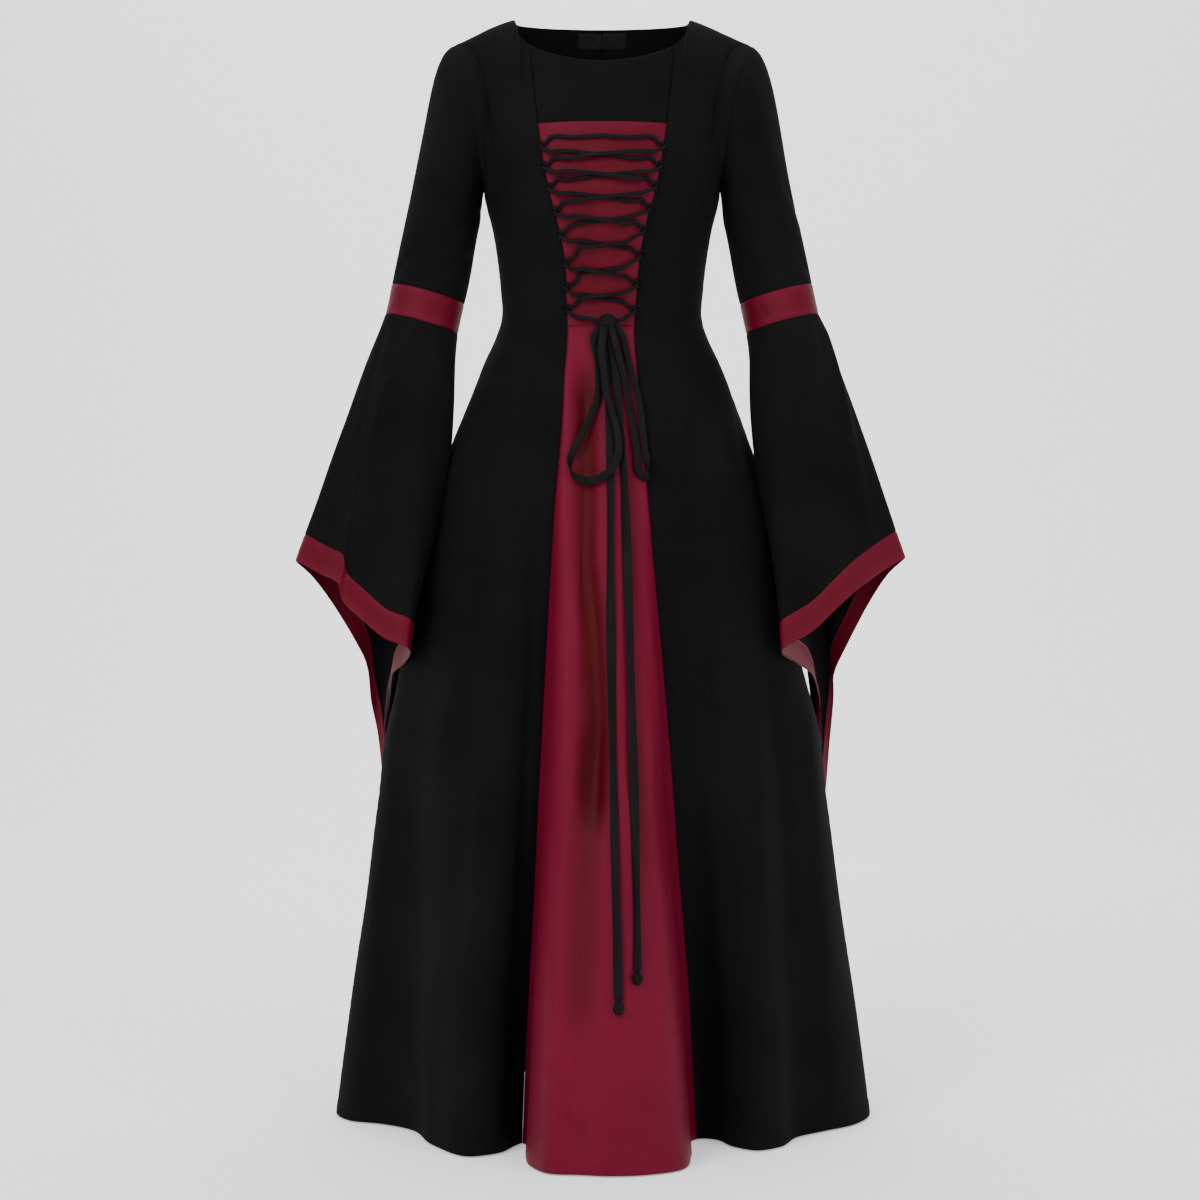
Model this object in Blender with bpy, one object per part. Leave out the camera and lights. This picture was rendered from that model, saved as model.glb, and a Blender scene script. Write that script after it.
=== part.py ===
"""Medieval gown: each cut piece of cloth, the sixteen lacing loops, the lace and its bow.

Metres, +Z up, the front faces -Y and +X is at the right of someone looking at the front.
The origin lies midway between the two points where the shoulder seams meet the neckline.
The tables below are in millimetres; "drop" is the distance below the origin.
"""

import math

import bpy
import numpy as np

for old in list(bpy.data.objects):
    bpy.data.objects.remove(old, do_unlink=True)

MM = 0.001
SEAM_GAP = 0.3
CLOTH = 2.0
LABEL = 0.8

HEM_DROP = 1398.0
BUST_DROP = 235.0
WAIST_DROP = 399.0
STOMACHER_TOP_DROP = 149.0
SQUARENESS = 2.3
FOLD_GROWTH = 1.3

# Plain section of the worn body: drop, half width, depth in front, depth behind
BODY = np.array([
    (215, 151, 121, 101),
    (235, 148, 122, 102),
    (262, 141, 121, 100),
    (303, 134, 115, 95),
    (345, 129.5, 105, 91),
    (380, 128, 101, 91),
    (406, 136, 104, 99),
    (431, 148, 110, 110),
    (483, 169, 126, 138),
    (534, 187, 143, 157),
    (600, 204, 157, 172),
    (700, 223, 171, 190),
    (790, 238, 184, 203),
    (850, 254, 193, 212),
    (918, 275, 202, 222),
    (995, 287, 211, 231),
    (1123, 303, 225, 244),
    (1251, 322, 238, 255),
    (1398, 341, 250, 265),
], float)

# Princess seams on that section: drop, x of the left seam, x of the right seam
PRINCESS = np.array([
    (215, 69.5, 69.5),
    (235, 65.5, 65.5),
    (272, 55.5, 55),
    (321, 46, 46),
    (370, 44, 42),
    (399, 43, 40),
    (468, 47, 44),
    (516, 49, 47),
    (618, 57, 56),
    (739, 64, 66),
    (858, 70, 76),
    (974, 76, 85),
    (1088, 81, 93),
    (1202, 87, 102),
    (1311, 92, 108),
    (1398, 95, 112),
], float)

# Hem seen from above, once round: place, x, y, drop at which its fold begins
HEM = (
    ("left princess seam", -97, -151, 440),
    ("gore left foot", -91, -162, 440),
    ("gore left side", -91, -205, 440),
    ("gore left corner", -84, -262, 450),
    ("gore left front", -60, -297, 460),
    ("gore hollow left", -28, -302, 470),
    ("gore hollow right", 8, -308, 470),
    ("gore right front", 52, -302, 460),
    ("gore right corner", 92, -279, 450),
    ("gore right side", 106, -215, 440),
    ("gore right foot", 109, -141, 440),
    ("right princess seam", 116, -130, 440),
    ("right front foot", 124, -127, 445),
    ("right front valley", 136, -131, 450),
    ("right front rise", 158, -168, 470),
    ("right front ridge", 186, -187, 480),
    ("right front fall", 214, -170, 500),
    ("right side hollow", 240, -119, 520),
    ("right side rise", 277, -87, 560),
    ("right side ridge", 315, -55, 560),
    ("right side seam", 344, 8, 600),
    ("right back ridge", 336, 62, 600),
    ("right back valley", 297, 104, 560),
    ("right back rise", 272, 170, 540),
    ("right back fold", 232, 222, 520),
    ("right back hollow", 176, 206, 520),
    ("right back inner rise", 132, 236, 540),
    ("right back inner fold", 82, 287, 540),
    ("right back inner fall", 36, 268, 540),
    ("centre back seam", 0, 242, 540),
    ("left back inner fall", -36, 268, 540),
    ("left back inner fold", -82, 287, 540),
    ("left back inner rise", -132, 236, 540),
    ("left back hollow", -176, 206, 520),
    ("left back fold", -232, 222, 520),
    ("left back rise", -272, 170, 540),
    ("left back valley", -297, 104, 560),
    ("left back ridge", -333, 62, 600),
    ("left side seam", -341, 8, 600),
    ("left side ridge", -320, -30, 560),
    ("left side rise", -276, -50, 560),
    ("left side hollow", -240, -78, 520),
    ("left front fall", -205, -160, 500),
    ("left front ridge", -155, -216, 480),
    ("left front rise", -122, -198, 455),
    ("left front foot", -104, -162, 445),
)

NECK_POINT = np.array((118.0, 0.0, 0.0))
SHOULDER_POINT = np.array((192.0, 0.0, -31.0))

# Front neckline: distance along it from the centre front, x, y, z
FRONT_NECK = np.array([
    (-176, -118, 0, 0),
    (-140, -108, -29, -19),
    (-104, -92, -54, -40),
    (-49, -48, -80, -61),
    (0, 0, -88, -68),
    (49, 48, -80, -61),
    (104, 92, -54, -40),
    (140, 108, -29, -19),
    (176, 118, 0, 0),
], float)
NECK_SEAM_RUN = 104.0
NECK_POINT_RUN = 176.0

# Neckline of a back panel from the shoulder to the centre back: column, x, y, z
BACK_NECK = np.array([
    (11, 118, 0, 0),
    (13, 101, 34, 4),
    (15, 60, 63, 8),
    (17, 0, 76, 10),
    (19, -60, 63, 8),
], float)

# Armhole, once round from the shoulder by the front: share, x, y, z, outward normal, slant of the cloth
ARMHOLE = np.array([
    (0.000, 192, 0, -31, 0.39, 0.00, 0.92, 0.645),
    (0.125, 178, -43, -66, 0.42, -0.52, 0.74, 0.75),
    (0.250, 164, -63, -118, 0.40, -0.90, 0.15, 0.80),
    (0.375, 156, -49, -178, 0.72, -0.69, 0.00, 0.60),
    (0.500, 151, 0, -216, 1.00, 0.00, 0.00, 0.00),
    (0.625, 157, 48, -178, 0.72, 0.69, 0.00, 0.60),
    (0.750, 168, 66, -116, 0.40, 0.90, 0.15, 0.80),
    (0.875, 181, 45, -64, 0.42, 0.52, 0.74, 0.75),
    (1.000, 192, 0, -31, 0.39, 0.00, 0.92, 0.645),
], float)

FRONT_COLUMNS = 15
BACK_COLUMNS = 17
ARM_COLUMNS = 16

# Heading of the cloth where it reaches the neckline and shoulder: column, x, y, z
FRONT_HEADING = np.array([
    (0, 0.12, 0.50, 0.86),
    (2, 0.20, 0.75, 0.60),
    (4, 0.30, 0.95, -0.10),
    (7, 0.70, 0.645, -0.30),
], float)
BACK_HEADING = np.array([
    (8, 0.70, -0.645, -0.30),
    (11, 0.30, -0.95, -0.10),
    (14, 0.10, -0.55, 0.83),
    (17, 0.00, -0.40, 0.92),
], float)

# Heading of the sleeve where it leaves the armhole: share, x, y, z, pull
SLEEVE_HEADING = np.array([
    (0.000, 0.92, 0.00, -0.39, 0.47),
    (0.125, 0.84, -0.18, -0.50, 0.55),
    (0.250, 0.50, -0.05, -0.86, 0.80),
    (0.375, 0.30, -0.02, -0.95, 1.00),
    (0.500, 0.25, 0.00, -0.97, 1.00),
    (0.625, 0.30, 0.02, -0.95, 1.00),
    (0.750, 0.52, 0.08, -0.85, 0.80),
    (0.875, 0.84, 0.18, -0.50, 0.55),
    (1.000, 0.92, 0.00, -0.39, 0.47),
], float)

SLEEVE_TILT = math.radians(15.0)
# Rings of the arm: centre x, y, z, half width across, half depth
BICEPS = (202.0, -3.0, -250.0, 46.6, 52.0)
ELBOW_TOP = (221.5, -16.0, -350.0, 47.7, 50.0)
ELBOW_BOTTOM = (229.0, -22.0, -388.0, 47.7, 49.0)
ARM_AXIS = (0.22, -0.10, -0.97)

# Heading of the bell where it leaves the elbow band: share, x, y, z, pull
BELL_HEADING = np.array([
    (0.000, 0.37, -0.03, -0.93, 1.00),
    (0.125, 0.30, -0.10, -0.95, 1.00),
    (0.250, 0.12, -0.20, -0.97, 1.00),
    (0.320, -0.02, -0.20, -0.98, 1.15),
    (0.400, -0.15, -0.18, -0.97, 1.30),
    (0.470, 0.02, -0.06, -1.00, 1.10),
    (0.540, 0.20, 0.05, -0.98, 1.00),
    (0.620, 0.26, 0.12, -0.96, 1.00),
    (0.750, 0.30, 0.15, -0.94, 1.00),
    (0.875, 0.35, 0.08, -0.93, 1.00),
    (1.000, 0.37, -0.03, -0.93, 1.00),
], float)

# Lower edge of each bell, once round from the outer tip by the front: share, x outward, y, z
BELL_LEFT = np.array([
    (0.00, 391, -15, -689),
    (0.05, 355, -45, -706),
    (0.10, 329, -70, -720),
    (0.13, 325, -66, -739),
    (0.18, 301, -85, -761),
    (0.24, 273, -105, -784),
    (0.32, 245, -112, -798),
    (0.40, 252, -42, -819),
    (0.47, 273, 20, -842),
    (0.54, 284, 70, -909),
    (0.62, 286, 97, -985),
    (0.70, 299, 116, -911),
    (0.75, 307, 107, -871),
    (0.79, 310, 96, -831),
    (0.85, 325, 76, -791),
    (0.91, 354, 50, -739),
    (0.96, 376, 20, -706),
    (1.00, 391, -15, -689),
], float)
BELL_RIGHT = np.array([
    (0.00, 387, -15, -685),
    (0.05, 358, -42, -700),
    (0.10, 334, -64, -715),
    (0.13, 317, -78, -727),
    (0.18, 290, -94, -750),
    (0.24, 262, -107, -776),
    (0.32, 225, -114, -801),
    (0.40, 249, -44, -820),
    (0.47, 272, 20, -838),
    (0.54, 285, 70, -876),
    (0.62, 293, 97, -988),
    (0.70, 303, 116, -925),
    (0.75, 308, 107, -866),
    (0.79, 307, 96, -839),
    (0.85, 322, 76, -798),
    (0.91, 350, 50, -739),
    (0.96, 371, 20, -703),
    (1.00, 387, -15, -685),
], float)
BELL_COLUMNS = (0.0, 0.025, 0.05, 0.075, 0.10, 0.13, 0.155, 0.18, 0.21, 0.24, 0.28, 0.305, 0.32, 0.335, 0.36,
                0.40, 0.435, 0.47, 0.505, 0.54, 0.58, 0.62, 0.66, 0.70, 0.75, 0.79, 0.85, 0.91, 0.96)
CUFF_HEIGHT = 36.0

# Drop of each pair of lacing loops: left edge, right edge
LOOP_DROPS = (
    (180, 180),
    (206, 205),
    (232, 230),
    (261, 257),
    (289, 283),
    (322, 313),
    (351, 347),
    (379, 380),
)
LACE_DIAMETER = 4.4
LOOP_DIAMETER = 2.4
BOW_DIAMETER = 6.0


def through(knots, values, at):
    """Cubic curve through values at the knots; the slope at a knot comes from its two neighbours."""
    knots = np.asarray(knots, float)
    values = np.asarray(values, float)
    at = np.asarray(at, float)
    slopes = np.gradient(values, knots, axis=0)
    span = np.clip(np.searchsorted(knots, at, side="right") - 1, 0, len(knots) - 2)
    step = knots[span + 1] - knots[span]
    t = (at - knots[span]) / step
    if values.ndim > 1:
        t = t[..., None]
        step = step[..., None]
    start = (1 + 2 * t) * (1 - t) ** 2 * values[span] + t * (1 - t) ** 2 * step * slopes[span]
    end = t * t * (3 - 2 * t) * values[span + 1] + t * t * (t - 1) * step * slopes[span + 1]
    return start + end


def round_through(knots, values, at):
    """The same cubic curve closed on itself: the last row of values repeats the first."""
    knots = np.asarray(knots, float)
    values = np.asarray(values, float)
    period = knots[-1] - knots[0]
    longer = np.concatenate([knots[-4:-1] - period, knots, knots[1:4] + period])
    more = np.concatenate([values[-4:-1], values, values[1:4]])
    turned = np.mod(np.asarray(at, float) - knots[0], period) + knots[0]
    return through(longer, more, turned)


def unit(vectors):
    """Vectors scaled to length one."""
    return vectors / np.linalg.norm(vectors, axis=-1, keepdims=True)


def bridge(start, start_heading, end, end_heading, share):
    """Hermite curve from start to end with the given end headings."""
    t = np.asarray(share, float)[..., None]
    return ((1 + 2 * t) * (1 - t) ** 2 * start + t * (1 - t) ** 2 * start_heading
            + t * t * (3 - 2 * t) * end + t * t * (t - 1) * end_heading)


def section(angle, drop):
    """Plain rounded section: x and y at an angle from the centre front, at a drop."""
    half, front, back = np.moveaxis(through(BODY[:, 0], BODY[:, 1:], drop), -1, 0)
    depth = np.where(np.cos(angle) > 0, front, back)
    x = half * np.abs(np.sin(angle)) ** (2 / SQUARENESS)
    y = -depth * np.sign(np.cos(angle)) * np.abs(np.cos(angle)) ** (2 / SQUARENESS)
    return x, y


def seam_angle(side, drop):
    """Angle from the centre front of the princess seam on the given side."""
    seams = through(PRINCESS[:, 0], PRINCESS[:, 1:], drop)
    x = np.where(np.asarray(side) < 0, seams[..., 0], seams[..., 1])
    half = through(BODY[:, 0], BODY[:, 1], drop)
    return np.arcsin((x / half) ** (SQUARENESS / 2))


def angle_of(part, side, across, drop):
    """Angle of a point that lies the given share across a part."""
    if part == "back":
        return 0.5 * math.pi * (1 + across) + 0 * drop
    seam = seam_angle(side, drop)
    if part == "centre":
        return np.abs(across) * seam
    return seam + across * (0.5 * math.pi - seam)


HEM_ROWS = np.array([row[1:] for row in HEM + HEM[:1]], float)
HEM_RUN = np.concatenate([[0], np.cumsum(np.hypot(*np.diff(HEM_ROWS[:, :2], axis=0).T))])
HEM_PLACE = {row[0]: HEM_RUN[index] for index, row in enumerate(HEM)}


def hem_run(part, side, across):
    """Distance round the hem of a point that lies the given share across a part."""
    lengths = HEM_PLACE
    if part == "centre":
        start, end, share = lengths["left princess seam"], lengths["right princess seam"], 0.5 * (across + 1)
    elif part == "front" and side > 0:
        start, end, share = lengths["right princess seam"], lengths["right side seam"], across
    elif part == "front":
        start, end, share = HEM_RUN[-1], lengths["left side seam"], across
    elif side > 0:
        start, end, share = lengths["right side seam"], lengths["centre back seam"], across
    else:
        start, end, share = lengths["left side seam"], lengths["centre back seam"], across
    return start + share * (end - start)


def lower(part, side, across, drop):
    """Body and skirt below the bust: the plain section, moved toward the folded hem as the drop grows."""
    sign = np.sign(across) if part == "centre" else side
    half = np.where(sign < 0, -1, 1)
    x, y = section(angle_of(part, sign, across, drop), drop)
    hem_x, hem_y = section(angle_of(part, sign, across, HEM_DROP + 0 * drop), HEM_DROP + 0 * drop)
    fold = round_through(HEM_RUN, HEM_ROWS, hem_run(part, side, across))
    grown = np.clip((drop - fold[..., 2]) / (HEM_DROP - fold[..., 2]), 0, 1) ** FOLD_GROWTH
    x = half * x + grown * (fold[..., 0] - half * hem_x)
    y = y + grown * (fold[..., 1] - hem_y)
    return np.stack([x, y, -drop], axis=-1)


def armhole(share):
    """Armhole seam of the right side."""
    return round_through(ARMHOLE[:, 0], ARMHOLE[:, 1:4], share)


def armhole_heading(share):
    """Heading with which the body's cloth reaches the right armhole, in the plane of the cloth."""
    rows = round_through(ARMHOLE[:, 0], ARMHOLE[:, 4:8], share)
    along = unit(armhole(share + 0.002) - armhole(share - 0.002))
    normal = rows[..., :3] - np.sum(rows[..., :3] * along, axis=-1, keepdims=True) * along
    outward = unit(np.cross(unit(normal), along))
    slant = np.clip(rows[..., 3:4], 0, 0.9)
    front = np.where(np.mod(share, 1.0)[..., None] < 0.5, -1.0, 1.0)
    return np.sqrt(1 - slant ** 2) * outward + front * slant * along


def top_edge(part, across):
    """Upper edge of a part and the heading of its cloth there, for the right side."""
    if part == "centre":
        edge = through(FRONT_NECK[:, 0], FRONT_NECK[:, 1:], across * NECK_SEAM_RUN)
        size = np.abs(across)[..., None]
        heading = (1 - size) * np.array((0.0, 0.40, 0.92)) + size * FRONT_HEADING[0, 1:]
        heading = heading * np.where(across < 0, -1, 1)[..., None] ** np.array((1, 0, 0))
        return edge, unit(heading)
    if part == "front":
        column = across * FRONT_COLUMNS
        run = NECK_SEAM_RUN + np.minimum(column, 4) / 4 * (NECK_POINT_RUN - NECK_SEAM_RUN)
        neck = through(FRONT_NECK[:, 0], FRONT_NECK[:, 1:], run)
        way = np.clip((column - 4) / 3, 0, 1)[..., None]
        shoulder = NECK_POINT + way * (SHOULDER_POINT - NECK_POINT)
        share = np.clip((column - 7) / ARM_COLUMNS, 0, 0.49999)
        heading = through(FRONT_HEADING[:, 0], FRONT_HEADING[:, 1:], np.minimum(column, 7))
        on_arm = column > 7
        on_shoulder = column > 4
    else:
        column = across * BACK_COLUMNS
        neck = through(BACK_NECK[:, 0], BACK_NECK[:, 1:], np.maximum(column, 11))
        way = np.clip((11 - column) / 3, 0, 1)[..., None]
        shoulder = NECK_POINT + way * (SHOULDER_POINT - NECK_POINT)
        share = np.clip(0.5 + column / ARM_COLUMNS, 0.5, 0.99999)
        heading = through(BACK_HEADING[:, 0], BACK_HEADING[:, 1:], np.maximum(column, 8))
        on_arm = column < 8
        on_shoulder = column < 11
    edge = np.where(on_shoulder[..., None], shoulder, neck)
    edge = np.where(on_arm[..., None], armhole(share), edge)
    heading = np.where(on_arm[..., None], armhole_heading(share), heading)
    return edge, unit(heading)


def upper(part, side, across, share):
    """Cloth above the bust: a Hermite curve up each column to the neckline, shoulder or armhole."""
    start = lower(part, side, across, BUST_DROP + 0 * across)
    below = lower(part, side, across, BUST_DROP + 2 + 0 * across)
    end, heading = top_edge(part, across)
    if part != "centre":
        mirror = np.array((side, 1.0, 1.0))
        end = end * mirror
        heading = heading * mirror
    length = np.linalg.norm(end - start, axis=-1, keepdims=True)
    return bridge(start, unit(start - below) * length, end, heading * length, share)


def split_share(across):
    """Share of the way up a centre column at which it stands at the stomacher's top."""
    way = np.linspace(0, 1, 81)
    across = np.asarray(across, float)
    found = [np.interp(-STOMACHER_TOP_DROP, upper("centre", 1, np.full(81, a), way)[:, 2], way)
             for a in across.ravel()]
    return np.array(found).reshape(across.shape)


SPLIT = float(split_share(1.0))
SPLIT_ACROSS = np.linspace(-1, 1, 9)
SPLIT_SHARES = split_share(SPLIT_ACROSS)


def body(part, side, across, level):
    """Outer face of the gown: a negative level is millimetres below the bust, a positive one a share above."""
    across, level = np.broadcast_arrays(np.asarray(across, float), np.asarray(level, float))
    share = np.clip(level, 0, 1)
    if part == "centre":
        split = through(SPLIT_ACROSS, SPLIT_SHARES, across)
        share = np.where(share < SPLIT, share * split / SPLIT, 1 - (1 - share) * (1 - split) / (1 - SPLIT))
    below = lower(part, side, across, BUST_DROP + np.maximum(-level, 0))
    above = upper(part, side, across, share)
    return np.where(level[..., None] > 0, above, below)


def level_at(drop):
    """Level of a drop that lies below the bust."""
    return BUST_DROP - drop


def slopes(surface, u, v, u_range, v_range, u_step, v_step):
    """Two edge directions of a surface by differences kept within its ranges."""
    u_low = np.clip(u - u_step, *u_range)
    u_high = np.clip(u + u_step, *u_range)
    v_low = np.clip(v - v_step, *v_range)
    v_high = np.clip(v + v_step, *v_range)
    return surface(u_high, v) - surface(u_low, v), surface(u, v_high) - surface(u, v_low)


def shell(name, outer, inward, thickness, closed):
    """Closed solid between a grid of outer points and the same grid moved inward."""
    rows, columns = outer.shape[:2]
    inner = outer + thickness * inward
    points = np.concatenate([outer.reshape(-1, 3), inner.reshape(-1, 3)])
    number = np.arange(rows * columns).reshape(rows, columns)
    if closed:
        number = np.concatenate([number, number[:, :1]], axis=1)
    a, b = number[:-1, :-1].ravel(), number[:-1, 1:].ravel()
    d, c = number[1:, :-1].ravel(), number[1:, 1:].ravel()
    short = (np.linalg.norm(points[a] - points[c], axis=1) <= np.linalg.norm(points[b] - points[d], axis=1))[:, None]
    first = np.where(short, np.stack([a, b, c], 1), np.stack([a, b, d], 1))
    second = np.where(short, np.stack([a, c, d], 1), np.stack([b, c, d], 1))
    skin = np.concatenate([first, second])
    shift = rows * columns
    faces = [skin, skin[:, ::-1] + shift]
    edges = [(number[0], 1), (number[-1], -1)]
    if not closed:
        edges += [(number[:, -1], 1), (number[:, 0], -1)]
    for edge, turn in edges:
        p, q = edge[:-1], edge[1:]
        faces += [np.stack([p, p + shift, q + shift], 1)[:, ::turn], np.stack([p, q + shift, q], 1)[:, ::turn]]
    faces = np.concatenate(faces)
    corners = points[faces]
    volume = np.sum(corners[:, 0] * np.cross(corners[:, 1], corners[:, 2])) / 6
    if volume < 0:
        faces = faces[:, ::-1]
    mesh = bpy.data.meshes.new(name)
    mesh.from_pydata((points * MM).tolist(), [], faces.tolist())
    mesh.update()
    thing = bpy.data.objects.new(name, mesh)
    bpy.context.scene.collection.objects.link(thing)
    return thing


def mitre(line, heading, half_gap, closed):
    """Shift that moves a seam line by half of the seam gap, square to each of its stretches."""
    if closed:
        before = unit(line - np.roll(line, 1, axis=0))
        after = unit(np.roll(line, -1, axis=0) - line)
    else:
        run = unit(np.diff(line, axis=0))
        before = np.concatenate([run[:1], run])
        after = np.concatenate([run, run[-1:]])
    first = unit(heading - np.sum(heading * before, axis=1, keepdims=True) * before)
    second = unit(heading - np.sum(heading * after, axis=1, keepdims=True) * after)
    spread = 1 + np.sum(first * second, axis=1, keepdims=True)
    return half_gap * (first + second) / np.maximum(spread, 0.3)


def draw_in(grid, u_slope, v_slope, half_gap, closed):
    """Move the edge rows and columns of a grid inward along the cloth by half of the seam gap."""
    along_u = unit(u_slope)
    along_v = unit(v_slope)
    moved = grid.copy()
    moved[0] += mitre(grid[0], along_v[0], half_gap, closed)
    moved[-1] -= mitre(grid[-1], along_v[-1], half_gap, closed)
    if not closed:
        moved[:, 0] += half_gap * along_u[:, 0]
        moved[:, -1] -= half_gap * along_u[:, -1]
    return moved


LOWER_DROPS = (1398, 1290, 1170, 1045, 918, 800, 690, 595, 515, 450, 399, 378, 350, 300, 235)
UPPER_SHARES = (0.5 * SPLIT, SPLIT, SPLIT + 0.33 * (1 - SPLIT), SPLIT + 0.68 * (1 - SPLIT), 1.0)
SKIRT_LEVELS = [level_at(drop) for drop in LOWER_DROPS[:11]]
WAIST_LEVELS = [level_at(drop) for drop in LOWER_DROPS[10:]]


def panel(name, part, side, across, levels, thickness):
    """One cut piece of the body: a grid on the outer face, its columns across and its rows up the body."""
    u, v = np.meshgrid(np.asarray(across, float), np.asarray(levels, float))
    u_range = (-1, 1) if part == "centre" else (0, 1)

    def surface(across_at, level):
        return body(part, side, across_at, level)

    v_step = np.where(v < 0, 2.0, 0.01)
    v_low = np.where(v == 0, v - 2.0, v - v_step)
    v_high = np.where(v == 0, v, np.minimum(v + v_step, np.where(v < 0, 0, 1)))
    v_low = np.maximum(v_low, level_at(HEM_DROP))
    v_slope = surface(u, v_high) - surface(u, v_low)
    u_low = np.clip(u - 0.004, *u_range)
    u_high = np.clip(u + 0.004, *u_range)
    u_slope = surface(u_high, v) - surface(u_low, v)
    turn = side if part != "centre" else 1
    outward = unit(np.cross(u_slope, v_slope)) * turn
    grid = draw_in(surface(u, v), u_slope, v_slope, 0.5 * SEAM_GAP, False)
    return shell(name, grid, -outward, thickness, False)


FRONT_ACROSS = np.linspace(0, 1, FRONT_COLUMNS + 1)
BACK_ACROSS = np.linspace(0, 1, BACK_COLUMNS + 1)
ALL_LEVELS = SKIRT_LEVELS + WAIST_LEVELS[1:] + list(UPPER_SHARES)

panel("front_gore", "centre", 1, np.linspace(-1, 1, 15), SKIRT_LEVELS, CLOTH)
panel("stomacher", "centre", 1, np.linspace(-1, 1, 7), WAIST_LEVELS + list(UPPER_SHARES[:2]), CLOTH)
panel("centre_front_yoke", "centre", 1, np.linspace(-1, 1, 7), UPPER_SHARES[1:], CLOTH)
for word, hand in (("left", -1), ("right", 1)):
    panel("front_" + word, "front", hand, FRONT_ACROSS, ALL_LEVELS, CLOTH)
    panel("back_" + word, "back", hand, BACK_ACROSS, ALL_LEVELS, CLOTH)


def arm_ring(ring, share):
    """Oval ring of the arm, square to its tilted axis; share 0 is outward, a quarter is the front."""
    x, y, z, half_width, half_depth = ring
    turn = 2 * math.pi * np.asarray(share, float)
    out = half_width * np.cos(turn)
    return np.stack([
        x + out * math.cos(SLEEVE_TILT),
        y - half_depth * np.sin(turn),
        z + out * math.sin(SLEEVE_TILT),
    ], axis=-1)


def upper_sleeve(share, way):
    """Right upper sleeve: way 0 is the armhole, 0.5 the biceps ring and 1 the top of the elbow band."""
    share, way = np.broadcast_arrays(np.asarray(share, float), np.asarray(way, float))
    rows = round_through(SLEEVE_HEADING[:, 0], SLEEVE_HEADING[:, 1:], share)
    heading = unit(rows[..., :3])
    pull = rows[..., 3:4]
    axis = unit(np.array(ARM_AXIS))
    start = armhole(share) + SEAM_GAP * heading
    middle = arm_ring(BICEPS, share)
    end = arm_ring(ELBOW_TOP, share)
    reach = np.linalg.norm(middle - start, axis=-1, keepdims=True)
    rest = np.linalg.norm(end - middle, axis=-1, keepdims=True)
    cap = bridge(start, heading * reach * pull, middle, axis * reach * 1.05, np.clip(2 * way, 0, 1))
    tube = bridge(middle, axis * rest, end, axis * rest, np.clip(2 * way - 1, 0, 1))
    return np.where(way[..., None] < 0.5, cap, tube)


def elbow_band(share, way):
    """Right elbow band between its two rings."""
    share, way = np.broadcast_arrays(np.asarray(share, float), np.asarray(way, float))
    return arm_ring(ELBOW_TOP, share) * (1 - way[..., None]) + arm_ring(ELBOW_BOTTOM, share) * way[..., None]


def bell(table, share, way):
    """Bell sleeve of the right side from the elbow band to its lower edge."""
    share, way = np.broadcast_arrays(np.asarray(share, float), np.asarray(way, float))
    rows = round_through(BELL_HEADING[:, 0], BELL_HEADING[:, 1:], share)
    start = arm_ring(ELBOW_BOTTOM, share)
    end = round_through(table[:, 0], table[:, 1:], share)
    reach = np.linalg.norm(end - start, axis=-1, keepdims=True)
    return bridge(start, unit(rows[..., :3]) * reach * rows[..., 3:4], end, end - start, way)


def cuff_start(table, share):
    """Way down the bell at which the cuff band begins."""
    start = arm_ring(ELBOW_BOTTOM, share)
    end = round_through(table[:, 0], table[:, 1:], share)
    return 1 - CUFF_HEIGHT / np.linalg.norm(end - start, axis=-1)


def sleeve_piece(name, surface, side, shares, ways, thickness):
    """One closed ring of sleeve cloth; ways holds one row of values for each ring of points."""
    u = np.broadcast_to(np.asarray(shares, float), np.shape(ways))
    v = np.asarray(ways, float)
    u_slope = surface(u + 0.004, v) - surface(u - 0.004, v)
    v_slope = surface(u, np.clip(v + 0.01, 0, 1)) - surface(u, np.clip(v - 0.01, 0, 1))
    inward = unit(np.cross(u_slope, v_slope)) * -1
    grid = draw_in(surface(u, v), u_slope, v_slope, 0.5 * SEAM_GAP, True)
    mirror = np.array((side, 1.0, 1.0))
    return shell(name, grid * mirror, inward * mirror, thickness, True)


def ways_of(values, count):
    """Rows of one value each, repeated round the ring."""
    return np.repeat(np.asarray(values, float)[:, None], count, axis=1)


ARM_SHARES = np.arange(ARM_COLUMNS) / ARM_COLUMNS
BELL_SHARES = np.array(BELL_COLUMNS)
for word, hand, table in (("left", -1, BELL_LEFT), ("right", 1, BELL_RIGHT)):
    sleeve_rows = ways_of((0, 0.06, 0.14, 0.24, 0.36, 0.5, 0.66, 0.83, 1), ARM_COLUMNS)
    sleeve_piece("upper_sleeve_" + word, upper_sleeve, hand, ARM_SHARES, sleeve_rows, CLOTH)
    sleeve_piece("elbow_band_" + word, elbow_band, hand, ARM_SHARES, ways_of((0, 0.5, 1), ARM_COLUMNS), CLOTH)

    def bell_here(share, way, rows=table):
        return bell(rows, share, way)

    end_way = cuff_start(table, BELL_SHARES)
    bell_rows = np.array((0, 0.1, 0.25, 0.43, 0.62, 0.81, 1.0))[:, None] * end_way
    cuff_rows = end_way + np.array((0, 0.5, 1.0))[:, None] * (1 - end_way)
    sleeve_piece("bell_sleeve_" + word, bell_here, hand, BELL_SHARES, bell_rows, CLOTH)
    sleeve_piece("cuff_band_" + word, bell_here, hand, BELL_SHARES, cuff_rows, CLOTH)


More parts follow.
